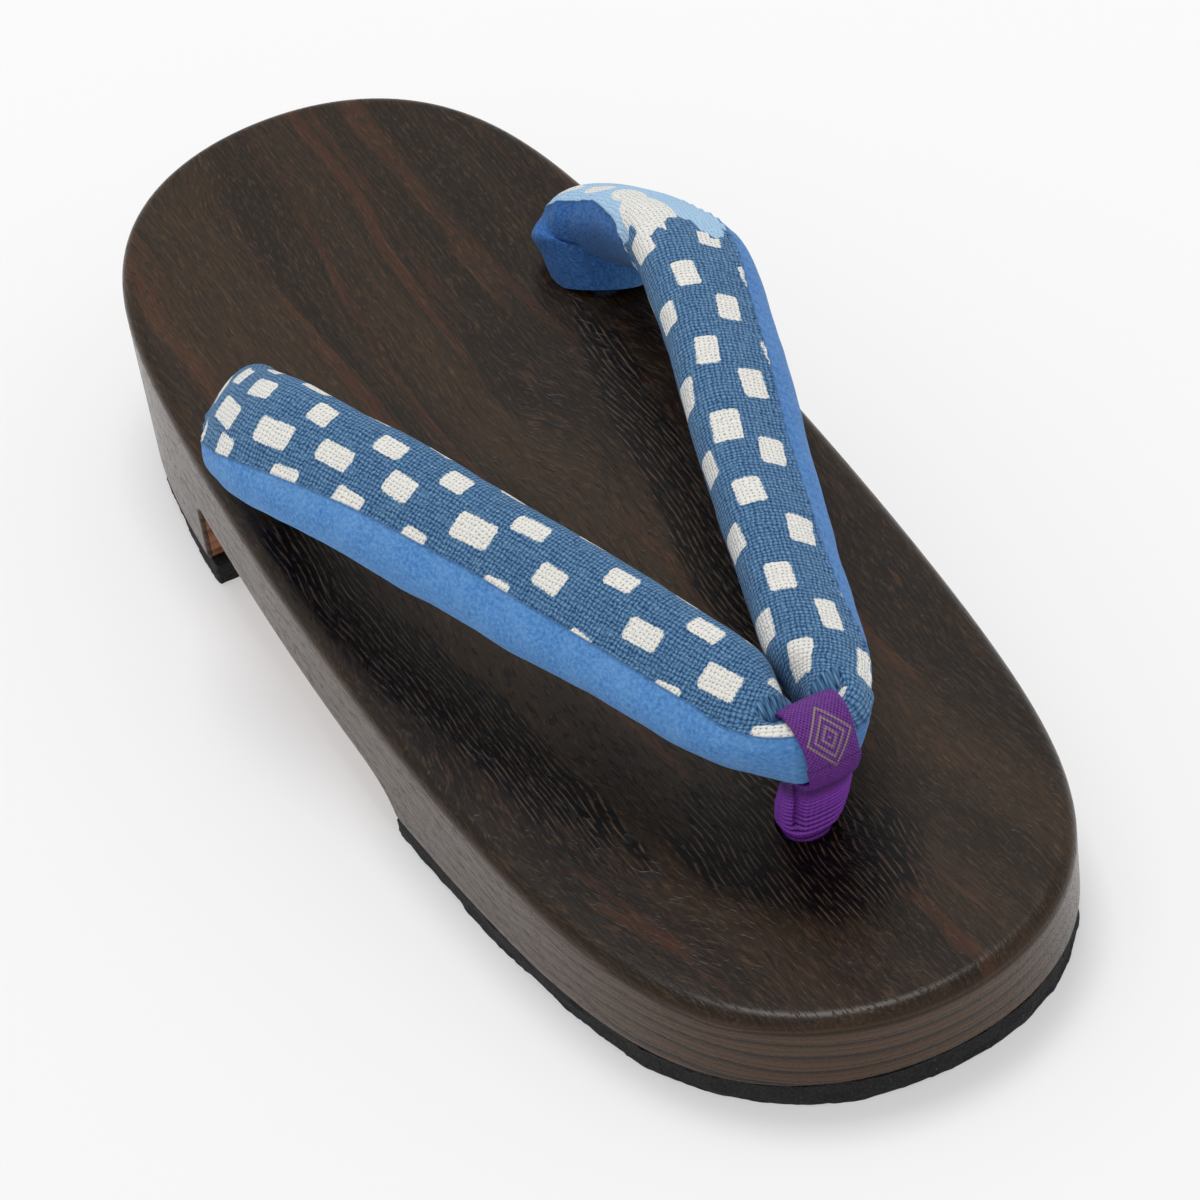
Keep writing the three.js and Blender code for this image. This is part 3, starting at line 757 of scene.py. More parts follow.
def lower_path():
    """The bottom edge of the wall from heel to toe, as (arc length, height), its corners eased."""
    front, fillet, start, end = (ARCH[name] for name in ("heel_front", "fillet", "drop_start", "fore_foot"))
    flat = front + fillet
    springing = (front, arch_ceiling(front) - fillet)
    points = [(-HALF_LENGTH, TREAD_THICKNESS), (front, TREAD_THICKNESS), springing]
    points += bezier([springing, (front, arch_ceiling(front)), (flat, arch_ceiling(flat))], 9)
    points += [(y, arch_ceiling(y)) for y in np.linspace(flat, start, 30)[1:]]
    knots = [(start, arch_ceiling(start)), (0.5 * (start + end), arch_ceiling(start) - 0.6),
             (end - 2.2, 2 * TREAD_THICKNESS), (end, TREAD_THICKNESS)]
    points += bezier(knots, 24)
    points.append((HALF_LENGTH, TREAD_THICKNESS))
    ends = {-HALF_LENGTH: 0.0, HALF_LENGTH: RIM.total}
    arc = np.array([ends[y] if y in ends else RIM.arc_at(y) for y, _ in points])
    height = np.array([z for _, z in points])
    length = travelled(arc, height)
    fine = np.arange(0, length[-1], 0.1)
    window = 15
    kernel = np.ones(window) / window
    arc = np.pad(np.interp(fine, length, arc), window // 2, mode="reflect", reflect_type="odd")
    height = np.pad(np.interp(fine, length, height), window // 2, mode="edge")
    return np.convolve(arc, kernel, "valid"), np.convolve(height, kernel, "valid")


def base_columns():
    """Arc length at the bottom and at the top, bottom height and the way into the wood, column by column."""
    arc, height = lower_path()
    step = np.hypot(np.gradient(arc), np.gradient(height))
    way = np.unwrap(np.arctan2(np.gradient(height), np.gradient(arc)))
    bend = np.abs(np.gradient(way)) / step
    weight = step * (1 / COLUMNS["pitch"] + np.minimum(COLUMNS["bend"] * bend, COLUMNS["bend_most"]))
    weight[arc < COLUMNS["heel_reach"]] *= COLUMNS["at_ends"]
    weight[arc > RIM.total - COLUMNS["toe_reach"]] *= COLUMNS["at_ends"]
    count = np.cumsum(weight)
    columns = int(count[-1])
    pick = np.interp(np.linspace(count[0], count[-1], columns), count, np.arange(len(arc)))
    low_arc, low_height, way = (np.interp(pick, np.arange(len(arc)), each) for each in (arc, height, way))
    low_arc[0] = 0
    low_arc[-1] = RIM.total
    reach = 26
    padded = np.pad(low_arc, reach, mode="reflect", reflect_type="odd")
    kernel = np.hanning(2 * reach + 1)
    top_arc = np.convolve(padded, kernel / kernel.sum(), "valid")
    top_arc[0] = 0
    top_arc[-1] = RIM.total
    return low_arc, low_height, -np.sin(way), np.cos(way), top_arc


def base_sections():
    """Closed sections of the base, from heel to toe. Each starts and ends in the middle of the underside."""
    low_arc, low_height, into_arc, into_height, top_arc = base_columns()
    rows = []
    for turn in np.linspace(np.pi / 2, 0, BASE_RINGS["foot"]):
        off = FOOT_RADIUS * (1 - math.sin(turn))
        rows.append(RIM.wall(low_arc + into_arc * off, low_height + into_height * off,
                             FOOT_RADIUS * (1 - math.cos(turn))))
    start_arc = low_arc + into_arc * FOOT_RADIUS
    start_height = low_height + into_height * FOOT_RADIUS
    rim_y = np.interp(top_arc, RIM.at, RIM.y)
    end_height = deck_height(rim_y) - RIM_RADIUS["drop"]
    for share in np.linspace(0, 1, BASE_RINGS["wall"])[1:]:
        rows.append(RIM.wall(lerp(start_arc, top_arc, share), lerp(start_height, end_height, share)))
    for turn in np.linspace(0, np.pi / 2, BASE_RINGS["rim"])[1:]:
        inset = RIM_RADIUS["inset"] * (1 - math.cos(turn))
        spot = RIM.wall(top_arc, end_height, inset)
        spot[:, 2] = deck_height(spot[:, 1]) - RIM_RADIUS["drop"] * (1 - math.sin(turn))
        rows.append(spot)
    right = np.stack(rows, axis=1)
    right[0, :, 0] = 0
    right[-1, :, 0] = 0
    left = right[:, ::-1].copy()
    left[:, :, 0] *= -1
    shares = np.linspace(0, 1, DECK_STRIPS + 1)[1:-1]
    over = np.stack([lerp(right[:, -1], left[:, 0], share) for share in shares], axis=1)
    under = np.stack([lerp(left[:, -1], right[:, 0], share) for share in shares], axis=1)
    half = len(shares) // 2 + 1
    return np.concatenate([under[:, half:], right, over, left, under[:, :half]], axis=1), len(shares) - half


def make_base(stained, bare):
    sections, under_first = base_sections()
    columns, around = sections.shape[:2]
    faces = ring_faces(columns, around)
    base = make_object("wooden_base_visual", sections.reshape(-1, 3), faces, [stained, bare])
    under_last = around - (DECK_STRIPS - 1 - under_first)
    middle_y = sections[:, 0, 1]
    middle_z = sections[:, 0, 2]
    for ring in range(columns - 1):
        y = 0.5 * (middle_y[ring] + middle_y[ring + 1])
        if not ARCH["heel_front"] - 1 < y < ARCH["fore_foot"] - 2 or middle_z[ring + 1] < BARE_ABOVE:
            continue
        for corner in range(around):
            if corner < under_first or corner >= under_last - 1:
                base.data.polygons[ring * around + corner].material_index = 1
    clean(base, weld=0.002)
    drill_holes(base)
    smooth(base.data, SHARP["base"])
    return base


def drill_holes(base):
    work = bmesh.new()
    holes = [(TOE_HOLE["x"], TOE_HOLE["y"], TOE_HOLE["radius"])]
    for side in (1, -1):
        holes.append((side * HEEL_HOLE["x"], HEEL_HOLE["y"], HEEL_HOLE["radius"]))
    for x, y, radius in holes:
        place = Matrix.Translation((x * MM, y * MM, DRILL["middle"] * MM))
        bmesh.ops.create_cone(work, cap_ends=True, segments=DRILL["segments"], radius1=radius * MM,
                              radius2=radius * MM, depth=DRILL["depth"] * MM, matrix=place)
    mesh = bpy.data.meshes.new("drill")
    work.to_mesh(mesh)
    work.free()
    drill = bpy.data.objects.new("drill", mesh)
    bpy.context.scene.collection.objects.link(drill)
    cut = base.modifiers.new("holes", "BOOLEAN")
    cut.operation = "DIFFERENCE"
    cut.solver = "EXACT"
    cut.object = drill
    apply_modifiers(base)
    bpy.data.objects.remove(drill)
    bpy.data.meshes.remove(mesh)


def apply_modifiers(target):
    graph = bpy.context.evaluated_depsgraph_get()
    made = bpy.data.meshes.new_from_object(target.evaluated_get(graph))
    old = target.data
    target.modifiers.clear()
    target.data = made
    bpy.data.meshes.remove(old)


# ---------- rubber treads


def tread_outline(start_y, end_y, rng):
    """One tread's outline, cut with a knife in short straight strokes, counterclockwise from above."""
    first = RIM.arc_at(start_y) if start_y > -HALF_LENGTH else 0.0
    last = RIM.arc_at(end_y) if end_y < HALF_LENGTH else RIM.total
    strokes = max(int((last - first) / TREAD_STROKE["length"]), 4)
    arc = np.linspace(first, last, strokes + 1)
    arc[1:-1] += rng.uniform(-TREAD_STROKE["jog"], TREAD_STROKE["jog"], strokes - 1)
    inset = TREAD_INSET + rng.uniform(*TREAD_STROKE["inset"], strokes + 1)
    right = RIM.wall(arc, np.full_like(arc, TREAD_THICKNESS), inset)[:, :2]
    left = right[::-1].copy()
    left[:, 0] *= -1
    left += rng.uniform(-TREAD_STROKE["uneven"], TREAD_STROKE["uneven"], left.shape)
    if first == 0.0:
        right[0, 0] = 0
        left = left[:-1]
    if last == RIM.total:
        right[-1, 0] = 0
        left = left[1:]
    return np.concatenate([right, left])


def make_tread(name, start_y, end_y, rubber, seed):
    rng = np.random.default_rng(seed)
    outline = tread_outline(start_y, end_y, rng)
    closed = np.vstack([outline, outline[:1]])
    length = travelled(*closed.T)
    count = int(length[-1] / TREAD_EDGE["step"])
    at = np.linspace(0, length[-1], count, endpoint=False)
    edge = np.stack([np.interp(at, length, closed[:, 0]), np.interp(at, length, closed[:, 1])], axis=1)
    way = np.roll(edge, -1, axis=0) - np.roll(edge, 1, axis=0)
    way /= np.linalg.norm(way, axis=1)[:, None]
    out = np.stack([way[:, 1], -way[:, 0]], axis=1)
    rings = []
    for height, inset in TREAD_LEVELS:
        rough = TREAD_EDGE["wave"] * soft_noise(rng, (count,), (2.5,))
        rough = rough + TREAD_EDGE["grain"] * rng.standard_normal(count)
        rough = np.clip(rough, -TREAD_EDGE["most"], TREAD_EDGE["most"])
        spot = edge - out * (inset + TREAD_EDGE["inset"] + rough)[:, None]
        rings.append(np.column_stack([spot, np.full(count, height)]))
    points = np.concatenate(rings)
    faces = ring_faces(len(TREAD_LEVELS), count)
    faces.append(tuple(range(count - 1, -1, -1)))
    last = (len(TREAD_LEVELS) - 1) * count
    faces.append(tuple(range(last, last + count)))
    return make_object(name, points, faces, [rubber], SHARP["tread"])


# ---------- padded strap


def row_value(rows, column, share):
    """The CAD source's Catmull-Rom curve through one column of a table, at shares from 0 to 1."""
    values = np.array([row[column] for row in rows], dtype=float)
    last = len(values) - 1
    place = np.asarray(share) * last
    whole = np.minimum(np.floor(place).astype(int), last - 1)
    part = place - whole
    wide = np.concatenate([[2 * values[0] - values[1]], values, [2 * values[-1] - values[-2]]])
    p0, p1, p2, p3 = (wide[whole + step] for step in range(4))
    t0 = 0.5 * (p2 - p0)
    t1 = 0.5 * (p3 - p1)
    return (p1 + t0 * part + (-3 * p1 + 3 * p2 - 2 * t0 - t1) * part ** 2
            + (2 * p1 - 2 * p2 + t0 + t1) * part ** 3)


def arm_frame(side, share):
    value = {name: row_value(ARM_ROWS[side], column, share) for column, name in enumerate(ARM_NAMES)}
    heading = np.radians(value["heading"])
    dip = np.radians(value["dip"])
    middle = np.stack([side * value["x"], value["y"], deck_height(value["y"]) + value["height"]], axis=-1)
    across = np.stack([side * np.cos(heading) * np.cos(dip), np.sin(heading) * np.cos(dip), -np.sin(dip)],
                      axis=-1)
    return middle, across, value["wide"], value["thick"]


# Print and velvet meet along two seams. u is the way along the arm from its hole, v the way round it
# from its outer edge over the top.
SEAM_V = {1: [(0, 7.2), (28, 6.8), (45, 8.2), (62, 9.2), (88, 9.8), (115, 9.6), (136, 8.8), (150, 6.0),
              (160, 4.4)],
          -1: [(0, 9.0), (25, 7.8), (45, 8.6), (60, 9.0), (110, 8.6), (136, 7.6), (150, 4.0), (160, 2.5)]}

# Where the print ends under the arm: u and how far before the end of the way round.
UNDER_SEAM = {1: [(0, 19), (160, 19)],
              -1: [(0, 28), (12, 29.5), (24, 31), (34, 30), (42, 26), (50, 21), (60, 19), (160, 18)]}

# The print: where each column of dots is along an arm (u, column; whole numbers are rows A and C, halves
# are rows B and D) and how far round the arm row B lies (u, v).
DOT_COLUMNS = {
    1: [(-12, -4), (2, -2.5), (12, -1.5), (26, -0.5), (30.5, 0), (39.7, 0.5), (45.7, 1), (53.2, 1.5),
        (60.7, 2), (67.7, 2.5), (75, 3), (83.5, 3.5), (92.7, 4), (101.5, 4.5), (111.7, 5), (121.7, 5.5),
        (129.5, 6), (137.2, 6.5), (148, 7), (168, 8.2)],
    -1: [(-12, -3.5), (18, -2), (38, -1), (47.5, -0.5), (58, 0), (67.7, 0.5), (78.7, 1), (87, 1.5),
         (97.5, 2), (104.5, 2.5), (114.7, 3), (123.5, 3.5), (134.5, 4), (142.5, 4.5), (151.5, 5), (170, 6)],
}
DOT_ROW_B = {
    1: [(0, 15.0), (26, 13.8), (45, 14.6), (53, 15.6), (68, 15.5), (83, 15.2), (122, 14.4), (137, 13.6),
        (155, 11.8)],
    -1: [(0, 13.8), (30, 12.8), (50, 13.6), (100, 12.4), (150, 10.5)],
}
DOT_ROW_PITCH = 5.8
DOT_SHIFT = {1: 1.0, -1: -0.8}

# Pale end of the -X arm: cream blobs as (u, v, half length, half width, turn in degrees).
PALE_EDGE_U = 43.0
PALE_BLOBS = [(40.0, 21.5, 9.5, 4.4, 8), (29.0, 20.0, 3.6, 2.6, 0), (12.0, 20.0, 5.0, 1.8, 10),
              (21.0, 20.5, 2.6, 1.6, -20), (6.0, 12.0, 3.0, 2.2, 10)]

# Painted shade on the velvet: how far it leans to its shaded, darker blue, 0 to 1; the -X arm, lying in
# shadow, gets more.
VELVET_SHADE = {1: 0.1, -1: 0.5}

# Soft troughs across the strap where it bends down into its hole: u, v, length round, depth, lean.
FOLDS = {1: [(7.0, -10.0, 7.0, 0.5, -0.25), (17.0, 29.0, 5.0, 0.4, 0.2)],
         -1: [(8.0, 24.0, 7.0, 0.7, 0.3), (15.0, 28.0, 6.0, 0.5, -0.2), (12.0, -7.0, 8.0, 0.6, -0.3)]}
FOLD_SHAPE = {"half_wide": 1.5, "lip": 0.45, "lip_at": 2.8, "lip_half_wide": 1.8}


def arm_grid(side):
    """Points of one arm in rings, with how far along (u) and round (v) each lies."""
    share = np.linspace(0, 1, 8 * ARM_STEPS + 1)
    length = travelled(*arm_frame(side, share)[0].T)
    share = np.interp(np.linspace(0, length[-1], ARM_STEPS + 1), length, share)
    middle, across, wide, thick = arm_frame(side, share)
    ahead = arm_frame(side, np.minimum(share + 0.01, 1))[0]
    behind = arm_frame(side, np.maximum(share - 0.01, 0))[0]
    along = ahead - behind
    along /= np.linalg.norm(along, axis=1)[:, None]
    up = np.cross(across, along) * side
    up /= np.linalg.norm(up, axis=1)[:, None]
    turn = np.linspace(ARM_START, ARM_START + 2 * np.pi, ARM_AROUND + 1)
    flat, rise = superellipse(turn, 2 / ARM_SQUARENESS)
    rise = rise * np.where(rise < 0, 1 + ARM_SAG * (0.5 + 0.5 * np.cos(turn)), 1.0)
    points = (middle[:, None] + across[:, None] * (wide[:, None] * flat)[..., None]
              + up[:, None] * (thick[:, None] * rise)[..., None])
    steps = np.linalg.norm(np.diff(points, axis=1), axis=2)
    v = np.concatenate([np.zeros((len(share), 1)), np.cumsum(steps, axis=1)], axis=1)
    outer_edge = (turn <= 0).sum() - 1
    v -= v[:, [outer_edge]]
    return points, travelled(*middle.T), v


def table_at(table, value):
    return np.interp(value, [row[0] for row in table], [row[1] for row in table])


def box_distance(du, dv, half_u, half_v, corner):
    """How far inside a rounded rectangle a point lies (negative outside)."""
    qu = np.abs(du) - half_u + corner
    qv = np.abs(dv) - half_v + corner
    outside = np.hypot(np.maximum(qu, 0), np.maximum(qv, 0))
    return corner - outside - np.minimum(np.maximum(qu, qv), 0)


def dot_distance(side, u, v, seed):
    """How far inside the nearest dot of the print each point lies."""
    rng = np.random.default_rng(seed)
    column_to_u = DOT_COLUMNS[side]
    columns = [row[1] for row in column_to_u]
    places = [row[0] for row in column_to_u]
    best = np.full(v.shape, -9.0)
    for row in range(-3, 7):
        offset = 0.0 if row % 2 == 0 else 0.5
        for column in np.arange(math.floor(columns[0]), columns[-1]) + offset:
            big = 1.0 if row == 1 or side < 0 else 0.86
            half_u = rng.uniform(2.7, 3.9) * big
            half_v = rng.uniform(1.8, 2.4) * big
            jog_u, jog_v = rng.uniform(-0.7, 0.7), rng.uniform(-0.35, 0.35)
            lean = rng.uniform(-0.12, 0.12)
            centre_u = np.interp(column, columns, places) + DOT_SHIFT[side] + jog_u
            near = np.abs(u - centre_u) < 7
            if not near.any():
                continue
            centre_v = table_at(DOT_ROW_B[side], centre_u) + (row - 1) * DOT_ROW_PITCH + jog_v
            du = (u[near] - centre_u)[:, None] + lean * (v[near] - centre_v)
            dv = v[near] - centre_v - lean * (u[near] - centre_u)[:, None]
            inside = box_distance(du, dv, half_u, half_v, 0.7)
            best[near] = np.maximum(best[near], inside)
    return best


def blob_distance(u, v):
    best = np.full(v.shape, -9.0)
    for centre_u, centre_v, half_u, half_v, turn in PALE_BLOBS:
        c, s = math.cos(math.radians(turn)), math.sin(math.radians(turn))
        du = u[:, None] - centre_u
        dv = v - centre_v
        a = (du * c + dv * s) / half_u
        b = (dv * c - du * s) / half_v
        best = np.maximum(best, (1 - np.hypot(a, b)) * half_v)
    return best


def grid_normals(points):
    """Outward normals of a grid of rings whose last column repeats the first."""
    along = np.gradient(points, axis=0)
    wide = np.concatenate([points[:, -2:-1], points, points[:, 1:2]], axis=1)
    around = wide[:, 2:] - wide[:, :-2]
    normal = np.cross(around, along)
    return normal / np.maximum(np.linalg.norm(normal, axis=2), 1e-9)[..., None]


def squeeze_into_loop(points):
    """Draws the strap's point into the ribbon ring's opening, or keeps it just behind the ribbon."""
    depth = LOOP["half_depth"] - LOOP["band"] - GAP
    height = LOOP["half_height"] - LOOP["band"] - GAP
    beside = np.abs(points[..., 0] - LOOP["x"])
    dy = points[..., 1] - LOOP["y"]
    dz = points[..., 2] - LOOP["z"]
    back = -LOOP["half_depth"] + 0.5 * LOOP["band"]
    far = np.hypot(dy / depth, dz / height)
    held = smoothstep(LOOP["half_width"] + 3.4, LOOP["half_width"] + GAP, beside)
    held = held * smoothstep(back - 0.05, back + 0.05, dy)
    shrink = np.where(far > 1, lerp(1.0, 1 / np.maximum(far, 1e-6), held), 1.0)
    points[..., 1] = LOOP["y"] + dy * shrink
    points[..., 2] = LOOP["z"] + dz * shrink
    behind = (dy < back) & (beside < LOOP["half_width"] + GAP) & (np.abs(dz) < LOOP["half_height"])
    limit = LOOP["y"] - (LOOP["half_depth"] + GAP) * np.sqrt(
        np.clip(1 - (dz / (LOOP["half_height"] + GAP)) ** 2, 0, 1))
    points[..., 1] = np.where(behind, np.minimum(points[..., 1], limit), points[..., 1])
    return points


def arm_mesh(side, seed):
    """One arm's points, the values its material reads, and where the points lie on the cloth."""
    rng = np.random.default_rng(seed)
    points, u, v = arm_grid(side)
    normal = grid_normals(points) * side
    perimeter = v[:, -1] - v[:, 0]
    seam_v = table_at(SEAM_V[side], u)[:, None]
    under_v = (perimeter - table_at(UNDER_SEAM[side], u))[:, None]
    seam = np.minimum(v - seam_v, under_v - v)
    groove = SEAM["depth"] * np.exp(-(seam / SEAM["half_wide"]) ** 2)
    gathers = np.sin(2 * np.pi * u / SEAM["pucker_pitch"] + 2.1)[:, None]
    pucker = SEAM["pucker"] * np.exp(-(seam / SEAM["pucker_reach"]) ** 2) * gathers
    lumps = sum(high * soft_noise(rng, (ARM_STEPS + 1, ARM_AROUND), spreads) for high, spreads in LUMPS)
    lumps = np.concatenate([lumps, lumps[:, :1]], axis=1)
    ends = smoothstep(0, 6, u)[:, None] * smoothstep(u[-1], u[-1] - 8, u)[:, None]
    rise = lumps * ends - groove - pucker
    for fold_u, fold_v, reach, depth, lean in FOLDS[side]:
        du = u[:, None] - fold_u - lean * (v - fold_v)
        across = np.exp(-((v - fold_v) / reach) ** 2)
        rise -= depth * across * np.exp(-(du / FOLD_SHAPE["half_wide"]) ** 2)
        for lip in (-FOLD_SHAPE["lip_at"], FOLD_SHAPE["lip_at"]):
            swell = np.exp(-((du - lip) / FOLD_SHAPE["lip_half_wide"]) ** 2)
            rise += depth * across * FOLD_SHAPE["lip"] * swell
    points = points + normal * rise[..., None]
    points = squeeze_into_loop(points)
    # Each arm stays on its own side of the middle.
    own = points[..., 0] * side
    points[..., 0] = side * (0.5 * (own + np.sqrt(own ** 2 + 0.6)) + 0.12)
    # Near its hole the arm lies on the foot bed and doesn't sink in.
    floor = deck_height(points[..., 1]) + GAP + 0.02
    low = points[..., 2] < floor
    near_hole = (u < HOLE_REACH)[:, None]
    points[..., 2] = np.where(low & near_hole, floor, points[..., 2])

    dots = dot_distance(side, u, v, seed + 1)
    pale = np.full(v.shape, -9.0)
    if side < 0:
        # The pale end of this arm's print has a stepped edge and blobs in place of dots.
        steps = 2.2 * np.sign(np.sin(0.62 * v + 0.4)) + 0.8 * np.sin(1.7 * v)
        pale = (PALE_EDGE_U + steps) - u[:, None] - 0.06 * (v - 20)
        dots = np.where(pale > 0, blob_distance(u, v), dots)
    ring = slice(0, ARM_AROUND)
    # Painted shade: the velvet that faces down or away is given the shaded, darker blue.
    hidden = np.maximum(smoothstep(14, 18, v), smoothstep(-3, -12, v))
    shade = np.maximum(VELVET_SHADE[side], hidden * smoothstep(75, 40, u)[:, None])
    values = {"seam_mm": seam[:, ring], "dot_mm": dots[:, ring], "pale_mm": pale[:, ring],
              "shade": shade[:, ring]}
    cloth = np.stack([np.broadcast_to(u[:, None], v.shape), v, np.zeros_like(v)], axis=-1)[:, ring]
    return points[:, ring], values, cloth


def make_strap(cloth_look):
    points, faces, cloth = [], [], []
    values = {"seam_mm": [], "dot_mm": [], "pale_mm": [], "shade": []}
    start = 0
    for side in (1, -1):
        grid, own_values, own_cloth = arm_mesh(side, ARM_SEED[side])
        rings = grid.shape[0]
        quads = ring_faces(rings, ARM_AROUND, start)
        last = start + (rings - 1) * ARM_AROUND
        quads.append(tuple(range(start + ARM_AROUND - 1, start - 1, -1)))
        quads.append(tuple(range(last, last + ARM_AROUND)))
        if side > 0:
            quads = [face[::-1] for face in quads]
        faces += quads
        points.append(grid.reshape(-1, 3))
        cloth.append(own_cloth.reshape(-1, 3) + (200.0 if side < 0 else 0.0, 0, 0))
        for name, value in own_values.items():
            values[name].append(value.ravel())
        start += rings * ARM_AROUND
    strap = make_object("padded_strap_visual", np.concatenate(points), faces, [cloth_look],
                        SHARP["cloth"])
    for name, value in values.items():
        set_attribute(strap, name, np.concatenate(value))
    set_attribute(strap, "cloth_mm", np.concatenate(cloth))
    return strap


# ---------- toe loop


def loop_band():
    """The ribbon ring: points in rings round the loop, and their places on the cloth and on the motif."""
    turns = np.linspace(0, 2 * np.pi, LOOP_TURNS, endpoint=False)
    spin = np.linspace(0, 2 * np.pi, LOOP_CORNERS, endpoint=False)
    depth = LOOP["half_depth"] - LOOP["band"] / 2
    height = LOOP["half_height"] - LOOP["band"] / 2
    travel = travelled(depth * np.cos(turns), height * np.sin(turns))
    badge_at = np.interp(math.radians(BADGE["turn"]), turns, travel)
    whole = travel[-1] + travel[1]
    turn, at = turns[:, None], travel[:, None]
    half = LOOP["half_width"] - LOOP_SECTION["inset"]
    for waist, middle, reach in LOOP_WAISTS:
        half = half - waist * np.exp(-((np.degrees(turn) - middle) / reach) ** 2)
    flat = superellipse(spin, LOOP_SECTION["flat"])[0]
    thick = superellipse(spin, LOOP_SECTION["thick"])[1]
    x = half * flat
    same = np.ones_like(x)
    crown = LOOP_SECTION["crown"] * (1 - flat * flat) - LOOP_SECTION["inset"]
    layer = -LOOP_SECTION["lap"] * np.exp(-(thick / 0.3) ** 2) * flat
    rise = thick * (LOOP["band"] / 2 - 0.08) + crown
    out_y, out_z = np.cos(turn) / depth, np.sin(turn) / height
    rise = rise / np.hypot(out_y, out_z)
    points = np.stack([LOOP["x"] + x + layer, LOOP["y"] + depth * np.cos(turn) + out_y * rise,
                       LOOP["z"] + height * np.sin(turn) + out_z * rise], axis=-1)
    cloth = np.stack([x, at + 0.6 * thick, 0 * same], axis=-1)
    away = (at - badge_at + whole / 2) % whole - whole / 2
    badge = np.stack([x, away * same, (thick > 0.2) * same], axis=-1)
    return points, cloth, badge


def post_grid():
    """The folded post, ribbed across, with a deep fold down its front, and its places on the cloth."""
    table = np.array(POST_ROWS)
    height = np.linspace(table[0, 0] + 0.2, table[-1, 0] - 0.2, POST_STEPS)[:, None]
    turn = np.linspace(0, 2 * np.pi, POST_AROUND, endpoint=False)
    flat, deep = superellipse(turn, 0.8)
    middle_x, y, wide, thick = (np.interp(height, table[:, 0], each) for each in table[:, 1:].T)
    x = wide * flat
    same = np.ones_like(x)
    rib = POST_RIB * np.cos(2 * np.pi * height / RIB_PITCH)
    fold_x = POST_FOLD["x"] + POST_FOLD["lean"] * (height - 8)
    groove = POST_FOLD["depth"] * np.exp(-((x - fold_x) / POST_FOLD["half_wide"]) ** 2)
    lobe = 0.7 * smoothstep(fold_x - 0.2, fold_x + 1.6, x)
    inset = POST_INSET + (deep > 0) * smoothstep(1.0, 4.0, height) * (groove + lobe) - rib
    points = np.stack([middle_x + x * (1 - (POST_INSET - rib) / wide), y + deep * (thick - inset),
                       same * (deck_height(TOE_HOLE["y"]) + height)], axis=-1)
    return points, np.stack([same * turn * POST_RADIUS, same * height, same * 0], axis=-1)


def make_toe_loop(ribbon):
    band, band_cloth, band_badge = loop_band()
    post, post_cloth = post_grid()
    turns, corners = band.shape[:2]
    points = [band.reshape(-1, 3), post.reshape(-1, 3)]
    faces = ring_faces(turns, corners)
    last = (turns - 1) * corners
    for corner in range(corners):
        after = (corner + 1) % corners
        faces.append((last + corner, last + after, after, corner))
    start = turns * corners
    rings, around = post.shape[:2]
    faces += ring_faces(rings, around, start)
    faces.append(tuple(range(start + around - 1, start - 1, -1)))
    top = start + (rings - 1) * around
    faces.append(tuple(range(top, top + around)))
    loop = make_object("toe_loop_visual", np.concatenate(points), faces, [ribbon], SHARP["cloth"])
    cloth = np.concatenate([band_cloth.reshape(-1, 3), post_cloth.reshape(-1, 3)])
    badge = np.concatenate([band_badge.reshape(-1, 3), np.zeros((rings * around, 3))])
    on_loop = np.concatenate([np.ones(turns * corners), np.zeros(rings * around)])
    set_attribute(loop, "cloth_mm", cloth)
    set_attribute(loop, "badge_mm", badge)
    set_attribute(loop, "on_loop", on_loop)
    clean(loop)
    return loop


# ---------- heel cords


def make_cord(side, name, look):
    """The strap's core cord: a twisted cord down its hole and a stopper knot under the foot bed."""
    x, y = side * HEEL_HOLE["x"], HEEL_HOLE["y"]
    ceiling = deck_height(y + CORD["knot_radius"]) - ARCH["board"] - GAP
    top = deck_height(y + CORD["radius"]) - GAP
    middle = ceiling - CORD["knot_height"] / 2
    turn = np.linspace(0, 2 * np.pi, 150)
    knot = (x + side * KNOT["size"] * (np.sin(turn) + 2 * np.sin(2 * turn)),
            y + KNOT["size"] * (np.cos(turn) - 2 * np.cos(2 * turn)),
            middle - KNOT["rise"] * np.sin(3 * turn))
    shaft = (np.full(60, x), np.full(60, y), np.linspace(middle, top - 0.05, 60))
    share = np.linspace(0, 1, 24)
    tail = (x - side * (1.0 + 3.4 * share), y + 1.2 + 2.8 * share, middle - 1.2 - 2.0 * share ** 2)
    points, faces = [], []
    for path, (radius, sides, ridge_height, twist) in zip((knot, shaft, tail), CORD_TUBES):
        more, corners = tube(np.stack(path, axis=1), radius, sides, CORD_STRANDS, ridge_height, twist)
        faces += [tuple(len(points) + corner for corner in face) for face in corners]
        points.extend(more)
    cord = make_object(name, points, faces, [look])
    clean(cord)
    return cord


# ---------- floor, light and camera


def make_stage():
    half = FLOOR["half"]
    points = [(-half, -half, 0), (half, -half, 0), (half, half, 0), (-half, half, 0)]
    floor = make_object("floor", points, [(0, 1, 2, 3)], [floor_material()])
    floor.location.z = -FLOOR["drop"] * MM


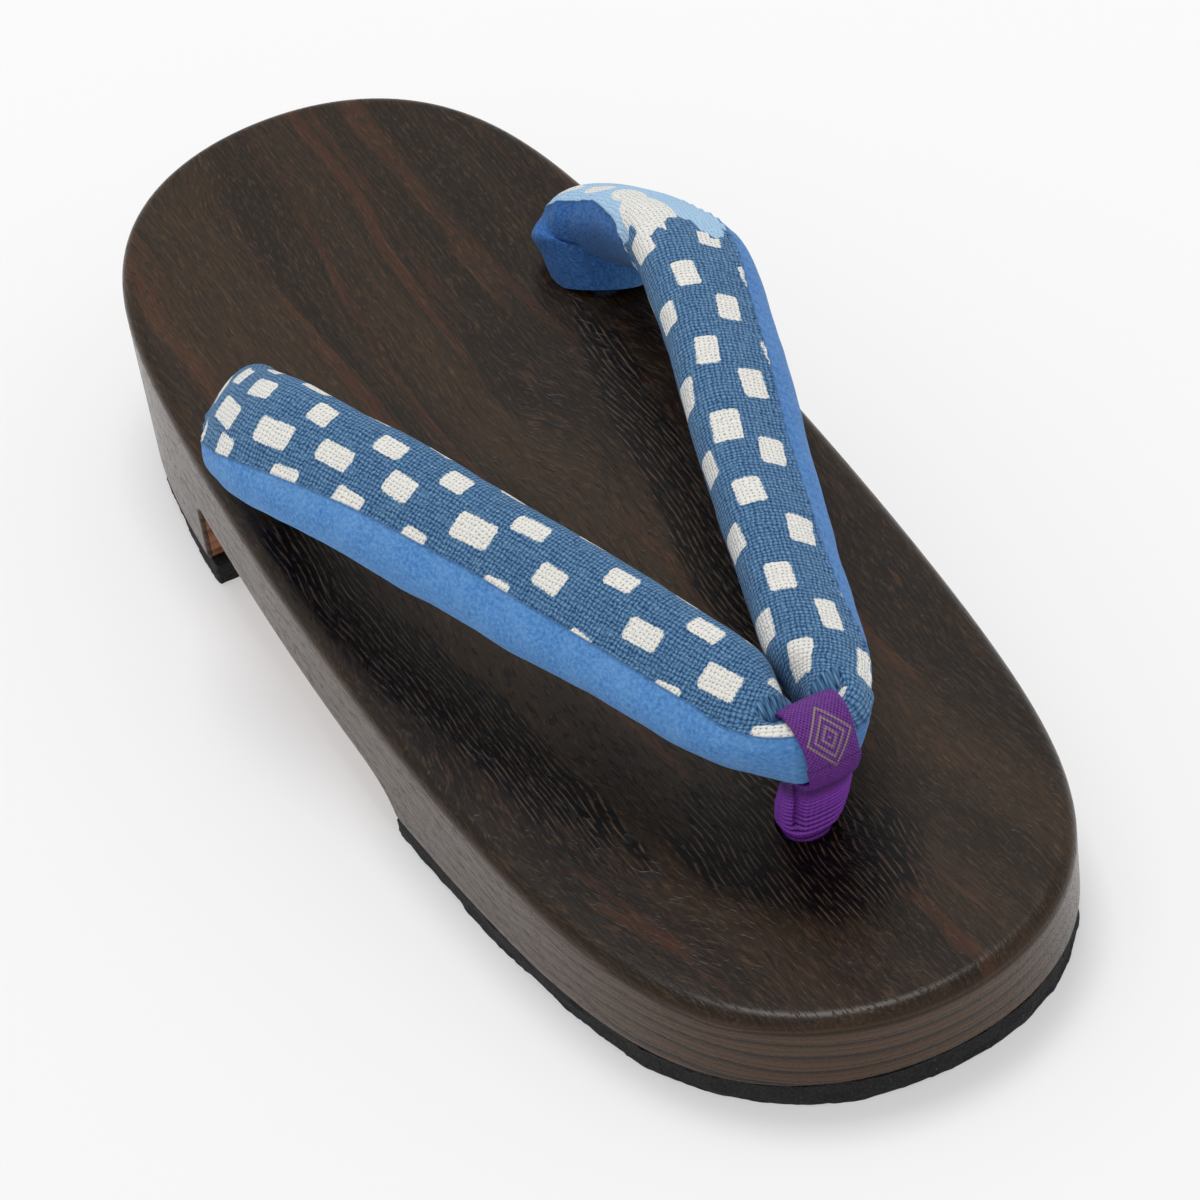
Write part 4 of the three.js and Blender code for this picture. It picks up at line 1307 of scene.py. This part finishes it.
def make_light():
    """White surroundings and one large key light that looks at the middle of the floor."""
    world = bpy.data.worlds.new("studio")
    world.use_nodes = True
    back = world.node_tree.nodes["Background"]
    back.inputs["Color"].default_value = (1.0, 1.0, 1.0, 1.0)
    back.inputs["Strength"].default_value = WORLD_STRENGTH
    bpy.context.scene.world = world
    light = bpy.data.lights.new("key", "AREA")
    light.shape = "SQUARE"
    light.size = KEY["size"] * MM
    light.energy = KEY["power"]
    key = bpy.data.objects.new("key", light)
    key.location = Vector(KEY["place"]) * MM
    key.rotation_mode = "QUATERNION"
    key.rotation_quaternion = (-key.location).to_track_quat("-Z", "Y")
    bpy.context.scene.collection.objects.link(key)
    view = bpy.context.scene.view_settings
    view.view_transform = "Standard"
    view.look = "None"


def make_camera():
    data = bpy.data.cameras.new("camera")
    data.lens = CAMERA["lens"]
    data.sensor_width = CAMERA["sensor"]
    data.clip_start, data.clip_end = CAMERA["clip"]
    camera = bpy.data.objects.new("camera", data)
    compass = math.radians(CAMERA["compass"])
    elevation = math.radians(CAMERA["elevation"])
    back = Vector((math.sin(compass) * math.cos(elevation), math.cos(compass) * math.cos(elevation),
                   math.sin(elevation)))
    level_right = Vector((0, 0, 1)).cross(back).normalized()
    level_up = back.cross(level_right)
    roll = math.radians(CAMERA["roll"])
    up = level_up * math.cos(roll) + level_right * math.sin(roll)
    right = up.cross(back)
    camera.matrix_world = Matrix.Translation((Vector(CAMERA["aim"]) + back * CAMERA["distance"]) * MM) @ (
        Matrix((right, up, back)).transposed().to_4x4())
    bpy.context.scene.collection.objects.link(camera)
    bpy.context.scene.camera = camera


# ---------- the whole


def place(piece, node, slot):
    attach(piece, "root")
    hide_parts(node)


def build():
    make_camera()
    make_stage()
    make_light()
    stained = wood_material("stained_wood", STAINED, 0.2)
    bare = wood_material("bare_wood", BARE, 0.5)
    place(make_base(stained, bare), "wooden_base", "dark_wood")
    rubber = rubber_material()
    place(make_tread("forefoot_tread_visual", TREAD_CUTS["fore_back"], HALF_LENGTH, rubber, SEED + 1),
          "forefoot_tread", "black_rubber")
    place(make_tread("heel_tread_visual", -HALF_LENGTH, TREAD_CUTS["heel_front"], rubber, SEED + 2),
          "heel_tread", "black_rubber")
    strap = make_strap(strap_material())
    place(strap, "padded_strap", "printed_cotton")
    place(make_toe_loop(ribbon_material()), "toe_loop", "purple_ribbon")
    cord = cord_material()
    place(make_cord(1, "heel_cord_right_visual", cord), "heel_cord_right", "cord")
    place(make_cord(-1, "heel_cord_left_visual", cord), "heel_cord_left", "cord")


build()
